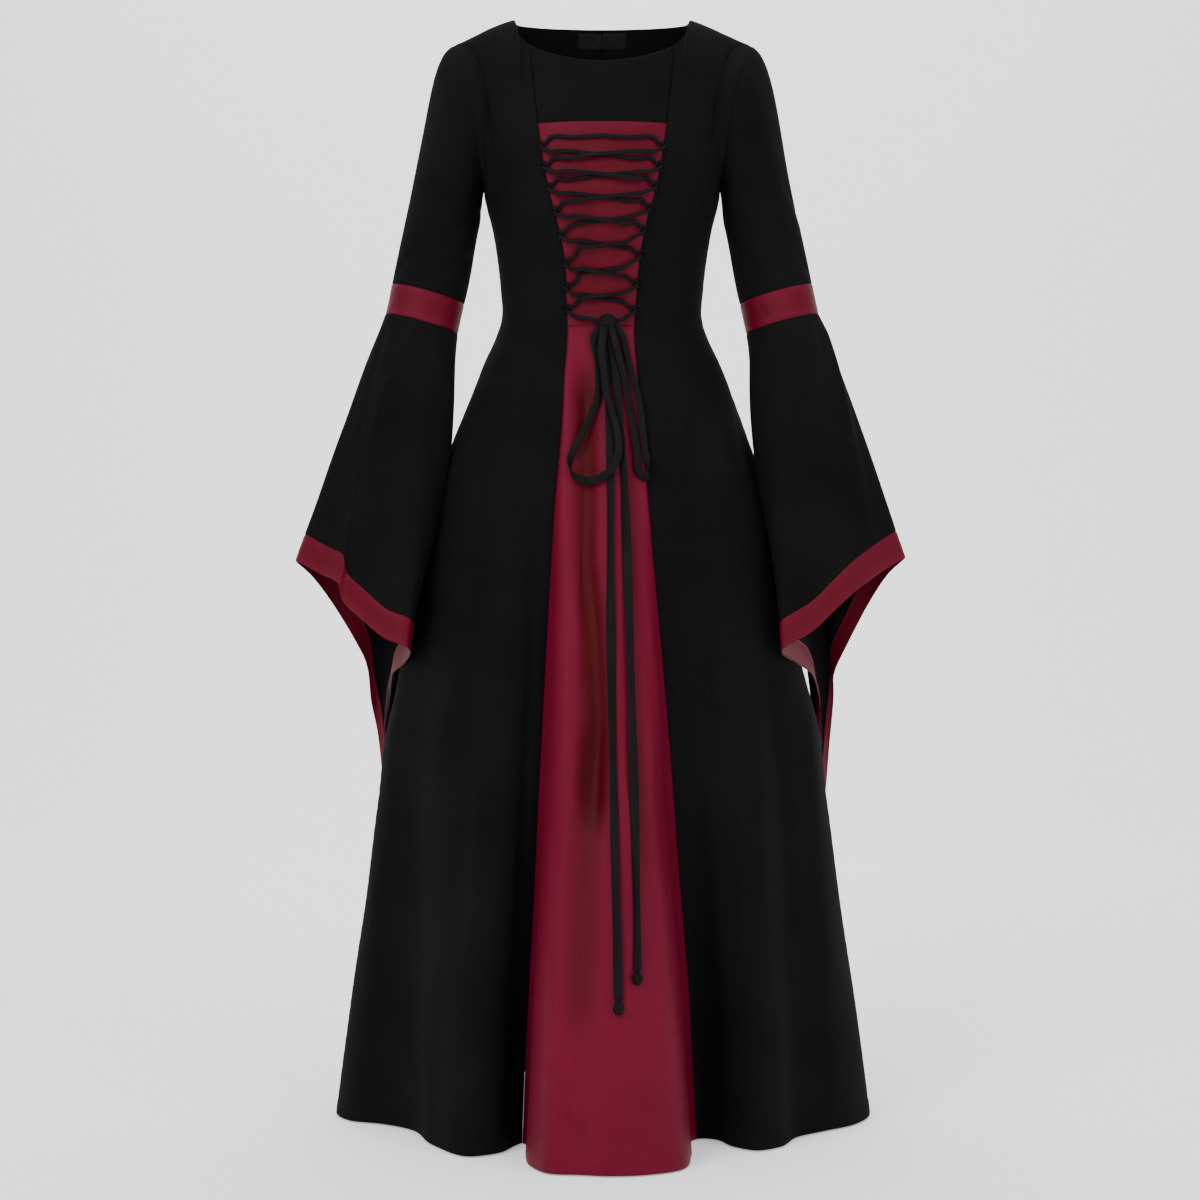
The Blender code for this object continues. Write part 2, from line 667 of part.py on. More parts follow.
def front_frame(across, drop):
    """Point, outward normal, direction outward across and direction down on the centre front."""
    if drop >= BUST_DROP:
        level = level_at(drop)
    else:
        way = np.linspace(0.001, 1, 60)
        heights = body("centre", 1, np.full(60, across), way)[:, 2]
        level = float(np.interp(-drop, heights, way))
    step = 1.0 if level < 0 else 0.01
    point = body("centre", 1, across, level)
    left = body("centre", 1, np.clip(across - 0.01, -1, 1), level)
    right = body("centre", 1, np.clip(across + 0.01, -1, 1), level)
    low = body("centre", 1, across, level - step)
    high = body("centre", 1, across, level)
    normal = unit(np.cross(right - left, high - low))
    down = unit(low - high)
    return point, normal, unit(np.cross(normal, down)), down


def tube(name, points, diameter, sides_step=2):
    """Round cord through the points, closed at both ends."""
    line = bpy.data.curves.new(name, "CURVE")
    line.dimensions = "3D"
    line.bevel_depth = 0.5 * diameter * MM
    line.bevel_resolution = sides_step
    line.resolution_u = 1
    line.use_fill_caps = True
    path = line.splines.new("POLY")
    path.points.add(len(points) - 1)
    flat = np.concatenate([np.asarray(points) * MM, np.ones((len(points), 1))], axis=1)
    path.points.foreach_set("co", flat.ravel())
    thing = bpy.data.objects.new(name, line)
    bpy.context.scene.collection.objects.link(thing)
    return thing


# One lacing loop: distance down the seam, distance in over the stomacher, height above the cloth
LOOP_PATH = (
    (-4.8, -3.6, 1.6),
    (-4.9, 1.2, 3.6),
    (-3.4, 5.9, 6.4),
    (0.0, 7.6, 6.9),
    (3.4, 5.8, 4.6),
    (4.8, 1.2, 2.0),
    (4.8, -3.6, 1.6),
)

# The lace through one loop: distance down, distance in, height above the cloth
LACE_TURN = (
    (-6.5, 14.0, 2.7),
    (-2.2, 7.6, 2.6),
    (-0.9, 3.2, 3.0),
    (0.9, 0.9, 4.4),
    (3.9, 2.4, 7.2),
    (6.8, 6.2, 7.4),
    (10.5, 12.0, 6.4),
)


def at_edge(side, drop, offsets):
    """Points given as down, in and height, placed at a lacing loop on one edge of the stomacher."""
    point, normal, right, down = front_frame(0.999 * side, drop)
    placed = []
    for along, inward, height in offsets:
        placed.append(point + down * along - right * side * inward + normal * height)
    return np.array(placed)


for index, drops in enumerate(LOOP_DROPS):
    for word, hand, drop in (("left", -1, drops[0]), ("right", 1, drops[1])):
        tube("lace_loop_" + word + "_" + str(index + 1), at_edge(hand, drop, LOOP_PATH), LOOP_DIAMETER, 1)


def over_cloth(across, drop, height):
    """Point above the centre front cloth."""
    point, normal, right, down = front_frame(across, drop)
    return point + normal * height


KNOT_CENTRE = over_cloth(0.12, 398.0, 11.5)
KNOT_SIZE = (11.0, 9.0, 8.5)


def lace_path(first_side, crossing_height):
    """Half of the lace: from the middle of the top bar down through every second loop to the bow."""
    points = [over_cloth(0.004 * first_side, 169.0, 4.5), over_cloth(0.4 * first_side, 171.0, 4.0)]
    side = first_side
    for row, drops in enumerate(LOOP_DROPS):
        drop = drops[0] if side < 0 else drops[1]
        points += list(at_edge(side, drop, LACE_TURN))
        if row + 1 < len(LOOP_DROPS):
            next_drop = LOOP_DROPS[row + 1][0] if side > 0 else LOOP_DROPS[row + 1][1]
            middle = 0.5 * (drop + next_drop)
            points.append(over_cloth(0.55 * side, middle - 4.5, 0.5 * (5.6 + crossing_height)))
            points.append(over_cloth(0.18 * side, middle - 1.5, crossing_height))
            points.append(over_cloth(-0.18 * side, middle + 1.5, crossing_height))
            points.append(over_cloth(-0.55 * side, middle + 4.5, 0.5 * (3.0 + crossing_height)))
        side = -side
    side = -side
    points.append(KNOT_CENTRE + np.array((side * 21.0, 4.5, 6.0)))
    points.append(KNOT_CENTRE + np.array((side * 12.6, 3.5, 2.5)))
    return points


tube("lace_left_start", lace_path(-1, 3.0), LACE_DIAMETER)
tube("lace_right_start", lace_path(1, 8.2), LACE_DIAMETER)


def lump(name, centre, size, rings, columns):
    """Closed ovoid, for a knot."""
    points = [centre + np.array((0, 0, size[2]))]
    for ring in range(1, rings):
        polar = math.pi * ring / rings
        for column in range(columns):
            turn = 2 * math.pi * column / columns
            points.append(centre + np.array((
                size[0] * math.sin(polar) * math.cos(turn),
                size[1] * math.sin(polar) * math.sin(turn),
                size[2] * math.cos(polar),
            )))
    points.append(centre - np.array((0, 0, size[2])))
    faces = []
    last = len(points) - 1
    for column in range(columns):
        beside = (column + 1) % columns
        faces.append((0, 1 + column, 1 + beside))
        base = 1 + (rings - 2) * columns
        faces.append((last, base + beside, base + column))
        for ring in range(rings - 2):
            a = 1 + ring * columns
            b = a + columns
            faces.append((a + column, b + column, b + beside, a + beside))
    mesh = bpy.data.meshes.new(name)
    mesh.from_pydata((np.array(points) * MM).tolist(), [], faces)
    mesh.update()
    thing = bpy.data.objects.new(name, mesh)
    bpy.context.scene.collection.objects.link(thing)
    return thing


lump("bow_knot", KNOT_CENTRE, KNOT_SIZE, 8, 12)

# Cords that hang from the knot over the gore: x, drop, height above the cloth
BOW_LEFT = (
    (-9, 420, 7),
    (-6, 440, 4.6),
    (-4, 468, 4.4),
    (-4, 495, 4.4),
    (-14, 520, 4.4),
    (-27, 545, 4.4),
    (-35, 565, 4.4),
    (-33, 582, 4.2),
    (-22, 591, 4.6),
    (-8, 588, 7),
    (6, 573, 10.6),
    (16, 554, 10.6),
    (17, 536, 10.6),
    (11, 515, 10.6),
    (5, 490, 10.6),
    (2, 462, 10.6),
    (-1, 436, 12.0),
)
BOW_RIGHT = (
    (23, 414, 8),
    (29, 436, 5),
    (36, 465, 4),
    (43, 495, 4.2),
    (50, 525, 4.2),
    (55, 555, 4.2),
    (56, 578, 4.2),
    (50, 592, 4.2),
    (43, 585, 4.2),
    (41, 562, 4.2),
    (37, 530, 4.2),
    (32, 498, 3.8),
    (26, 466, 5.2),
    (19, 438, 9.5),
)
TAIL_LEFT = (
    (1, 416, 6),
    (4, 440, 4.2),
    (7, 480, 4.0),
    (9, 520, 4.0),
    (10, 580, 4.0),
    (10, 660, 4.0),
    (10, 760, 4.0),
    (11, 860, 4.0),
    (13, 960, 4.0),
    (15, 1060, 4.0),
    (17, 1140, 4.0),
    (18, 1204, 5.6),
)
TAIL_RIGHT = (
    (11, 416, 6),
    (14, 440, 4.2),
    (18, 480, 4.0),
    (21, 520, 4.0),
    (25, 580, 4.0),
    (28, 660, 4.0),
    (31, 760, 4.0),
    (34, 860, 4.0),
    (36, 960, 4.0),
    (38, 1060, 4.0),
    (39, 1120, 4.0),
    (39, 1171, 5.6),
)


def across_of(x, drop):
    """Share across the centre part at which a point of the cloth has the given x."""
    shares = np.linspace(-0.98, 0.98, 80)
    return float(np.interp(x, body("centre", 1, shares, level_at(drop))[:, 0], shares))


def hang(rows, starts, ends, spacing):
    """Evenly spaced points from starts, along rows of x, drop and height over the cloth, to ends."""
    knots = list(starts)
    for x, drop, height in rows:
        knots.append(over_cloth(across_of(x, drop), float(drop), height))
    knots = np.array(knots + list(ends))
    run = np.concatenate([[0], np.cumsum(np.linalg.norm(np.diff(knots, axis=0), axis=1))])
    count = max(2, int(round(run[-1] / spacing)) + 1)
    points = through(run, knots, np.linspace(0, run[-1], count))
    print(round(float(np.linalg.norm(np.diff(points, axis=0), axis=1).sum()), 1), "mm of cord,", count, "points")
    return points


tube("bow_loop_left", hang(BOW_LEFT, [KNOT_CENTRE + np.array((-12.8, 0.0, -3.5))],
                           [KNOT_CENTRE + np.array((-5.4, -7.4, -8.2))], 15.0), BOW_DIAMETER)
tube("bow_loop_right", hang(BOW_RIGHT, [KNOT_CENTRE + np.array((12.8, 0.0, -3.5))],
                            [KNOT_CENTRE + np.array((5.8, -7.4, -8.2))], 15.0), BOW_DIAMETER)
left_tail = hang(TAIL_LEFT, [KNOT_CENTRE + np.array((-4.4, 3.6, -10.2))], [], 18.0)
right_tail = hang(TAIL_RIGHT, [KNOT_CENTRE + np.array((4.4, 3.6, -10.2))], [], 18.0)
tube("tail_left", left_tail, BOW_DIAMETER)
tube("tail_right", right_tail, BOW_DIAMETER)
END_KNOT = (6.0, 4.4, 7.5)
for word, tail in (("left", left_tail), ("right", right_tail)):
    heading = unit(tail[-1] - tail[-2])
    lump("end_knot_" + word, tail[-1] + heading * 8.1, END_KNOT, 6, 10)


def label():
    """Plain label inside the back of the neck, made from the back panels' own faces moved inward."""
    low, high = UPPER_SHARES[-2], UPPER_SHARES[-1]
    grid = []
    for rise in (0.42, 0.66, 0.90):
        line = []
        for side, column in ((-1, 15.95), (-1, 16.5), (1, 17.0), (1, 16.5), (1, 15.95)):
            first = min(int(column), BACK_COLUMNS - 1)
            share = column - first
            corners = body("back", side, np.array((first, first + 1)) / BACK_COLUMNS, np.array([[low], [high]]))
            across_low = corners[0, 0] + share * (corners[0, 1] - corners[0, 0])
            across_high = corners[1, 0] + share * (corners[1, 1] - corners[1, 0])
            line.append(across_low + rise * (across_high - across_low))
        grid.append(line)
    grid = np.array(grid)
    across = np.gradient(grid, axis=1)
    up = np.gradient(grid, axis=0)
    inward = unit(np.cross(across, up))
    return shell("neck_label", grid + inward * (CLOTH + 2 * SEAM_GAP), inward, LABEL, False)


label()
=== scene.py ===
"""Medieval gown of black cloth with a laced wine satin front, each cut piece worked out as a surface.

Tables are in millimetres and the meshes in metres, +Z up; the front faces -Y and +X is at the right of
someone looking at the front. The origin lies midway between the neck ends of the two shoulder seams,
and "drop" is the distance below it.
"""

import math

import bpy
import numpy as np
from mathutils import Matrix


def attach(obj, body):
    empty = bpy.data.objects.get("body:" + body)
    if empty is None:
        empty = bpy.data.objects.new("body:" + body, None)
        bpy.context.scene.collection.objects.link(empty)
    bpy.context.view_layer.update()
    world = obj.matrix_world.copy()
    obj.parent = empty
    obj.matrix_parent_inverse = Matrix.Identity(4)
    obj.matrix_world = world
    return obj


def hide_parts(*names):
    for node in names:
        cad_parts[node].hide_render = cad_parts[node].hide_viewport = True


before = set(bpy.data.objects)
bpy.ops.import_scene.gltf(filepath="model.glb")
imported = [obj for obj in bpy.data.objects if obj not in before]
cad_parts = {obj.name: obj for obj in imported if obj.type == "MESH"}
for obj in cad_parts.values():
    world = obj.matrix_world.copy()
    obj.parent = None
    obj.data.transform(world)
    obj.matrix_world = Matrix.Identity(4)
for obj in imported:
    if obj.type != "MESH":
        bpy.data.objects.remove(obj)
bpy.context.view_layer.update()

MM = 0.001
WALL = 1.5
HEM_DROP = 1398.0
BUST_DROP = 235.0
WAIST_DROP = 399.0
STOMACHER_TOP_DROP = 149.0
SQUARENESS = 2.3
FOLD_GROWTH = 1.3

# Plain section of the worn body: drop, half width, depth in front, depth behind
BODY = np.array([
    (215, 151, 121, 101),
    (235, 148, 122, 102),
    (262, 141, 121, 100),
    (303, 134, 115, 95),
    (345, 129.5, 105, 91),
    (380, 128, 101, 91),
    (406, 136, 104, 99),
    (431, 148, 110, 110),
    (483, 169, 126, 138),
    (534, 187, 143, 157),
    (600, 204, 157, 172),
    (700, 223, 171, 190),
    (790, 238, 184, 203),
    (850, 254, 193, 212),
    (918, 275, 202, 222),
    (995, 287, 211, 231),
    (1123, 303, 225, 244),
    (1251, 322, 238, 255),
    (1398, 341, 250, 265),
], float)

# Princess seams on that section: drop, x of the left seam, x of the right seam
PRINCESS = np.array([
    (215, 69.5, 69.5),
    (235, 65.5, 65.5),
    (272, 55.5, 55),
    (321, 46, 46),
    (370, 44, 42),
    (399, 43, 40),
    (468, 47, 44),
    (516, 49, 47),
    (618, 57, 56),
    (739, 64, 66),
    (858, 70, 76),
    (974, 76, 85),
    (1088, 81, 93),
    (1202, 87, 102),
    (1311, 92, 108),
    (1398, 95, 112),
], float)

# Hem seen from above, once round: place, x, y, drop at which its fold begins
HEM = (
    ("left princess seam", -97, -151, 440),
    ("gore left foot", -91, -162, 440),
    ("gore left side", -91, -205, 440),
    ("gore left corner", -84, -262, 450),
    ("gore left front", -60, -297, 460),
    ("gore hollow left", -28, -302, 470),
    ("gore hollow right", 8, -308, 470),
    ("gore right front", 52, -302, 460),
    ("gore right corner", 92, -279, 450),
    ("gore right side", 106, -215, 440),
    ("gore right foot", 109, -141, 440),
    ("right princess seam", 116, -130, 440),
    ("right front foot", 124, -127, 445),
    ("right front valley", 136, -131, 450),
    ("right front rise", 158, -168, 470),
    ("right front ridge", 186, -187, 480),
    ("right front fall", 214, -170, 500),
    ("right side hollow", 240, -119, 520),
    ("right side rise", 277, -87, 560),
    ("right side ridge", 315, -55, 560),
    ("right side seam", 344, 8, 600),
    ("right back ridge", 336, 62, 600),
    ("right back valley", 297, 104, 560),
    ("right back rise", 272, 170, 540),
    ("right back fold", 232, 222, 520),
    ("right back hollow", 176, 206, 520),
    ("right back inner rise", 132, 236, 540),
    ("right back inner fold", 82, 287, 540),
    ("right back inner fall", 36, 268, 540),
    ("centre back seam", 0, 242, 540),
    ("left back inner fall", -36, 268, 540),
    ("left back inner fold", -82, 287, 540),
    ("left back inner rise", -132, 236, 540),
    ("left back hollow", -176, 206, 520),
    ("left back fold", -232, 222, 520),
    ("left back rise", -272, 170, 540),
    ("left back valley", -297, 104, 560),
    ("left back ridge", -333, 62, 600),
    ("left side seam", -341, 8, 600),
    ("left side ridge", -320, -30, 560),
    ("left side rise", -276, -50, 560),
    ("left side hollow", -240, -78, 520),
    ("left front fall", -205, -160, 500),
    ("left front ridge", -155, -216, 480),
    ("left front rise", -122, -198, 455),
    ("left front foot", -104, -162, 445),
)

NECK_POINT = np.array((118.0, 0.0, 0.0))
SHOULDER_POINT = np.array((192.0, 0.0, -31.0))

# Front neckline: distance along it from the centre front, x, y, z
FRONT_NECK = np.array([
    (-176, -118, 0, 0),
    (-140, -108, -29, -19),
    (-104, -92, -54, -40),
    (-49, -48, -80, -61),
    (0, 0, -88, -68),
    (49, 48, -80, -61),
    (104, 92, -54, -40),
    (140, 108, -29, -19),
    (176, 118, 0, 0),
], float)
NECK_SEAM_RUN = 104.0
NECK_POINT_RUN = 176.0

# Neckline of a back panel from the shoulder to the centre back: column, x, y, z
BACK_NECK = np.array([
    (11, 118, 0, 0),
    (13, 101, 34, 4),
    (15, 60, 63, 8),
    (17, 0, 76, 10),
    (19, -60, 63, 8),
], float)

# Armhole, once round from the shoulder by the front: share, x, y, z, outward normal, slant of the cloth
ARMHOLE = np.array([
    (0.000, 192, 0, -31, 0.39, 0.00, 0.92, 0.645),
    (0.125, 178, -43, -66, 0.42, -0.52, 0.74, 0.75),
    (0.250, 164, -63, -118, 0.40, -0.90, 0.15, 0.80),
    (0.375, 156, -49, -178, 0.72, -0.69, 0.00, 0.60),
    (0.500, 151, 0, -216, 1.00, 0.00, 0.00, 0.00),
    (0.625, 157, 48, -178, 0.72, 0.69, 0.00, 0.60),
    (0.750, 168, 66, -116, 0.40, 0.90, 0.15, 0.80),
    (0.875, 181, 45, -64, 0.42, 0.52, 0.74, 0.75),
    (1.000, 192, 0, -31, 0.39, 0.00, 0.92, 0.645),
], float)

FRONT_COLUMNS = 15
BACK_COLUMNS = 17
ARM_COLUMNS = 16

# Heading of the cloth where it reaches the neckline and shoulder: column, x, y, z
FRONT_HEADING = np.array([
    (0, 0.12, 0.50, 0.86),
    (2, 0.20, 0.75, 0.60),
    (4, 0.30, 0.95, -0.10),
    (7, 0.70, 0.645, -0.30),
], float)
BACK_HEADING = np.array([
    (8, 0.70, -0.645, -0.30),
    (11, 0.30, -0.95, -0.10),
    (14, 0.10, -0.55, 0.83),
    (17, 0.00, -0.40, 0.92),
], float)

# Heading of the sleeve where it leaves the armhole: share, x, y, z, pull
SLEEVE_HEADING = np.array([
    (0.000, 0.92, 0.00, -0.39, 0.47),
    (0.125, 0.84, -0.18, -0.50, 0.55),
    (0.250, 0.50, -0.05, -0.86, 0.80),
    (0.375, 0.30, -0.02, -0.95, 1.00),
    (0.500, 0.25, 0.00, -0.97, 1.00),
    (0.625, 0.30, 0.02, -0.95, 1.00),
    (0.750, 0.52, 0.08, -0.85, 0.80),
    (0.875, 0.84, 0.18, -0.50, 0.55),
    (1.000, 0.92, 0.00, -0.39, 0.47),
], float)

SLEEVE_TILT = math.radians(15.0)
# Rings of the arm: centre x, y, z, half width across, half depth
BICEPS = (202.0, -3.0, -250.0, 46.6, 52.0)
ELBOW_TOP = (221.5, -16.0, -350.0, 47.7, 50.0)
ELBOW_BOTTOM = (229.0, -22.0, -388.0, 47.7, 49.0)
ARM_AXIS = (0.22, -0.10, -0.97)

# Heading of the bell where it leaves the elbow band: share, x, y, z, pull
BELL_HEADING = np.array([
    (0.000, 0.37, -0.03, -0.93, 1.00),
    (0.125, 0.30, -0.10, -0.95, 1.00),
    (0.250, 0.12, -0.20, -0.97, 1.00),
    (0.320, -0.02, -0.20, -0.98, 1.15),
    (0.400, -0.15, -0.18, -0.97, 1.30),
    (0.470, 0.02, -0.06, -1.00, 1.10),
    (0.540, 0.20, 0.05, -0.98, 1.00),
    (0.620, 0.26, 0.12, -0.96, 1.00),
    (0.750, 0.30, 0.15, -0.94, 1.00),
    (0.875, 0.35, 0.08, -0.93, 1.00),
    (1.000, 0.37, -0.03, -0.93, 1.00),
], float)

# Lower edge of each bell, once round from the outer tip by the front: share, x outward, y, z
BELL_LEFT = np.array([
    (0.00, 391, -15, -689),
    (0.05, 355, -45, -706),
    (0.10, 329, -70, -720),
    (0.13, 325, -66, -739),
    (0.18, 301, -85, -761),
    (0.24, 273, -105, -784),
    (0.32, 245, -112, -798),
    (0.40, 252, -42, -819),
    (0.47, 273, 20, -842),
    (0.54, 284, 70, -909),
    (0.62, 286, 97, -985),
    (0.70, 299, 116, -911),
    (0.75, 307, 107, -871),
    (0.79, 310, 96, -831),
    (0.85, 325, 76, -791),
    (0.91, 354, 50, -739),
    (0.96, 376, 20, -706),
    (1.00, 391, -15, -689),
], float)
BELL_RIGHT = np.array([
    (0.00, 387, -15, -685),
    (0.05, 358, -42, -700),
    (0.10, 334, -64, -715),
    (0.13, 317, -78, -727),
    (0.18, 290, -94, -750),
    (0.24, 262, -107, -776),
    (0.32, 225, -114, -801),
    (0.40, 249, -44, -820),
    (0.47, 272, 20, -838),
    (0.54, 285, 70, -876),
    (0.62, 293, 97, -988),
    (0.70, 303, 116, -925),
    (0.75, 308, 107, -866),
    (0.79, 307, 96, -839),
    (0.85, 322, 76, -798),
    (0.91, 350, 50, -739),
    (0.96, 371, 20, -703),
    (1.00, 387, -15, -685),
], float)
BELL_COLUMNS = (0.0, 0.025, 0.05, 0.075, 0.10, 0.13, 0.155, 0.18, 0.21, 0.24, 0.28, 0.305, 0.32, 0.335, 0.36,
                0.40, 0.435, 0.47, 0.505, 0.54, 0.58, 0.62, 0.66, 0.70, 0.75, 0.79, 0.85, 0.91, 0.96)
CUFF_HEIGHT = 36.0

# Drop of each pair of lacing loops: left edge, right edge
LOOP_DROPS = (
    (180, 180),
    (206, 205),
    (232, 230),
    (261, 257),
    (289, 283),
    (322, 313),
    (351, 347),
    (379, 380),
)

# Place of the camera in metres, and its lens in millimetres on a sensor 36 wide
CAMERA_PLACE = (-0.0026, -2.9, -0.7386)
CAMERA_LENS = 67.97
CAMERA_REACH = 60.0


def front_camera():
    """Camera level with the middle of the gown, 2.9 m in front of it."""
    eye = bpy.data.cameras.new("front_view")
    eye.sensor_width = 36.0
    eye.lens = CAMERA_LENS
    eye.clip_end = CAMERA_REACH
    stand = bpy.data.objects.new("front_view", eye)
    stand.location = CAMERA_PLACE
    stand.rotation_euler = (math.radians(90.0), 0.0, 0.0)
    bpy.context.scene.collection.objects.link(stand)
    bpy.context.scene.camera = stand


front_camera()


def through(knots, values, at):
    """Cubic curve through values at the knots; the slope at a knot comes from its two neighbours."""
    knots = np.asarray(knots, float)
    values = np.asarray(values, float)
    at = np.asarray(at, float)
    slopes = np.gradient(values, knots, axis=0)
    span = np.clip(np.searchsorted(knots, at, side="right") - 1, 0, len(knots) - 2)
    step = knots[span + 1] - knots[span]
    t = (at - knots[span]) / step
    if values.ndim > 1:
        t = t[..., None]
        step = step[..., None]
    start = (1 + 2 * t) * (1 - t) ** 2 * values[span] + t * (1 - t) ** 2 * step * slopes[span]
    end = t * t * (3 - 2 * t) * values[span + 1] + t * t * (t - 1) * step * slopes[span + 1]
    return start + end


def round_through(knots, values, at):
    """The same cubic curve closed on itself: the last row of values repeats the first."""
    knots = np.asarray(knots, float)
    values = np.asarray(values, float)
    period = knots[-1] - knots[0]
    longer = np.concatenate([knots[-4:-1] - period, knots, knots[1:4] + period])
    more = np.concatenate([values[-4:-1], values, values[1:4]])
    turned = np.mod(np.asarray(at, float) - knots[0], period) + knots[0]
    return through(longer, more, turned)


def unit(vectors):
    """Vectors scaled to length one."""
    return vectors / np.linalg.norm(vectors, axis=-1, keepdims=True)


def bridge(start, start_heading, end, end_heading, share):
    """Hermite curve from start to end with the given end headings."""
    t = np.asarray(share, float)[..., None]
    return ((1 + 2 * t) * (1 - t) ** 2 * start + t * (1 - t) ** 2 * start_heading
            + t * t * (3 - 2 * t) * end + t * t * (t - 1) * end_heading)


def section(angle, drop):
    """Plain rounded section: x and y at an angle from the centre front, at a drop."""
    half, front, back = np.moveaxis(through(BODY[:, 0], BODY[:, 1:], drop), -1, 0)
    depth = np.where(np.cos(angle) > 0, front, back)
    x = half * np.abs(np.sin(angle)) ** (2 / SQUARENESS)
    y = -depth * np.sign(np.cos(angle)) * np.abs(np.cos(angle)) ** (2 / SQUARENESS)
    return x, y


def seam_angle(side, drop):
    """Angle from the centre front of the princess seam on the given side."""
    seams = through(PRINCESS[:, 0], PRINCESS[:, 1:], drop)
    x = np.where(np.asarray(side) < 0, seams[..., 0], seams[..., 1])
    half = through(BODY[:, 0], BODY[:, 1], drop)
    return np.arcsin((x / half) ** (SQUARENESS / 2))


def angle_of(part, side, across, drop):
    """Angle of a point that lies the given share across a part."""
    if part == "back":
        return 0.5 * math.pi * (1 + across) + 0 * drop
    seam = seam_angle(side, drop)
    if part == "centre":
        return np.abs(across) * seam
    return seam + across * (0.5 * math.pi - seam)


HEM_ROWS = np.array([row[1:] for row in HEM + HEM[:1]], float)
HEM_RUN = np.concatenate([[0], np.cumsum(np.hypot(*np.diff(HEM_ROWS[:, :2], axis=0).T))])
HEM_PLACE = {row[0]: HEM_RUN[index] for index, row in enumerate(HEM)}


def hem_run(part, side, across):
    """Distance round the hem of a point that lies the given share across a part."""
    lengths = HEM_PLACE
    if part == "centre":
        start, end, share = lengths["left princess seam"], lengths["right princess seam"], 0.5 * (across + 1)
    elif part == "front" and side > 0:
        start, end, share = lengths["right princess seam"], lengths["right side seam"], across
    elif part == "front":
        start, end, share = HEM_RUN[-1], lengths["left side seam"], across
    elif side > 0:
        start, end, share = lengths["right side seam"], lengths["centre back seam"], across
    else:
        start, end, share = lengths["left side seam"], lengths["centre back seam"], across
    return start + share * (end - start)


def lower(part, side, across, drop):
    """Body and skirt below the bust: the plain section, moved toward the folded hem as the drop grows."""
    sign = np.sign(across) if part == "centre" else side
    half = np.where(sign < 0, -1, 1)
    x, y = section(angle_of(part, sign, across, drop), drop)
    hem_x, hem_y = section(angle_of(part, sign, across, HEM_DROP + 0 * drop), HEM_DROP + 0 * drop)
    fold = round_through(HEM_RUN, HEM_ROWS, hem_run(part, side, across))
    grown = np.clip((drop - fold[..., 2]) / (HEM_DROP - fold[..., 2]), 0, 1) ** FOLD_GROWTH
    x = half * x + grown * (fold[..., 0] - half * hem_x)
    y = y + grown * (fold[..., 1] - hem_y)
    return np.stack([x, y, -drop], axis=-1)


def armhole(share):
    """Armhole seam of the right side."""
    return round_through(ARMHOLE[:, 0], ARMHOLE[:, 1:4], share)


def armhole_heading(share):
    """Heading with which the body's cloth reaches the right armhole, in the plane of the cloth."""
    rows = round_through(ARMHOLE[:, 0], ARMHOLE[:, 4:8], share)
    along = unit(armhole(share + 0.002) - armhole(share - 0.002))
    normal = rows[..., :3] - np.sum(rows[..., :3] * along, axis=-1, keepdims=True) * along
    outward = unit(np.cross(unit(normal), along))
    slant = np.clip(rows[..., 3:4], 0, 0.9)
    front = np.where(np.mod(share, 1.0)[..., None] < 0.5, -1.0, 1.0)
    return np.sqrt(1 - slant ** 2) * outward + front * slant * along


def top_edge(part, across):
    """Upper edge of a part and the heading of its cloth there, for the right side."""
    if part == "centre":
        edge = through(FRONT_NECK[:, 0], FRONT_NECK[:, 1:], across * NECK_SEAM_RUN)
        size = np.abs(across)[..., None]
        heading = (1 - size) * np.array((0.0, 0.40, 0.92)) + size * FRONT_HEADING[0, 1:]
        heading = heading * np.where(across < 0, -1, 1)[..., None] ** np.array((1, 0, 0))
        return edge, unit(heading)
    if part == "front":
        column = across * FRONT_COLUMNS
        run = NECK_SEAM_RUN + np.minimum(column, 4) / 4 * (NECK_POINT_RUN - NECK_SEAM_RUN)
        neck = through(FRONT_NECK[:, 0], FRONT_NECK[:, 1:], run)
        way = np.clip((column - 4) / 3, 0, 1)[..., None]
        shoulder = NECK_POINT + way * (SHOULDER_POINT - NECK_POINT)
        share = np.clip((column - 7) / ARM_COLUMNS, 0, 0.49999)
        heading = through(FRONT_HEADING[:, 0], FRONT_HEADING[:, 1:], np.minimum(column, 7))
        on_arm = column > 7
        on_shoulder = column > 4
    else:
        column = across * BACK_COLUMNS
        neck = through(BACK_NECK[:, 0], BACK_NECK[:, 1:], np.maximum(column, 11))
        way = np.clip((11 - column) / 3, 0, 1)[..., None]
        shoulder = NECK_POINT + way * (SHOULDER_POINT - NECK_POINT)
        share = np.clip(0.5 + column / ARM_COLUMNS, 0.5, 0.99999)
        heading = through(BACK_HEADING[:, 0], BACK_HEADING[:, 1:], np.maximum(column, 8))
        on_arm = column < 8
        on_shoulder = column < 11
    edge = np.where(on_shoulder[..., None], shoulder, neck)
    edge = np.where(on_arm[..., None], armhole(share), edge)
    heading = np.where(on_arm[..., None], armhole_heading(share), heading)
    return edge, unit(heading)


def upper(part, side, across, share):
    """Cloth above the bust: a Hermite curve up each column to the neckline, shoulder or armhole."""
    start = lower(part, side, across, BUST_DROP + 0 * across)
    below = lower(part, side, across, BUST_DROP + 2 + 0 * across)
    end, heading = top_edge(part, across)
    if part != "centre":
        mirror = np.array((side, 1.0, 1.0))
        end = end * mirror
        heading = heading * mirror
    length = np.linalg.norm(end - start, axis=-1, keepdims=True)
    return bridge(start, unit(start - below) * length, end, heading * length, share)


def split_share(across):
    """Share of the way up a centre column at which it stands at the stomacher's top."""
    way = np.linspace(0, 1, 81)
    across = np.asarray(across, float)
    found = [np.interp(-STOMACHER_TOP_DROP, upper("centre", 1, np.full(81, a), way)[:, 2], way)
             for a in across.ravel()]
    return np.array(found).reshape(across.shape)


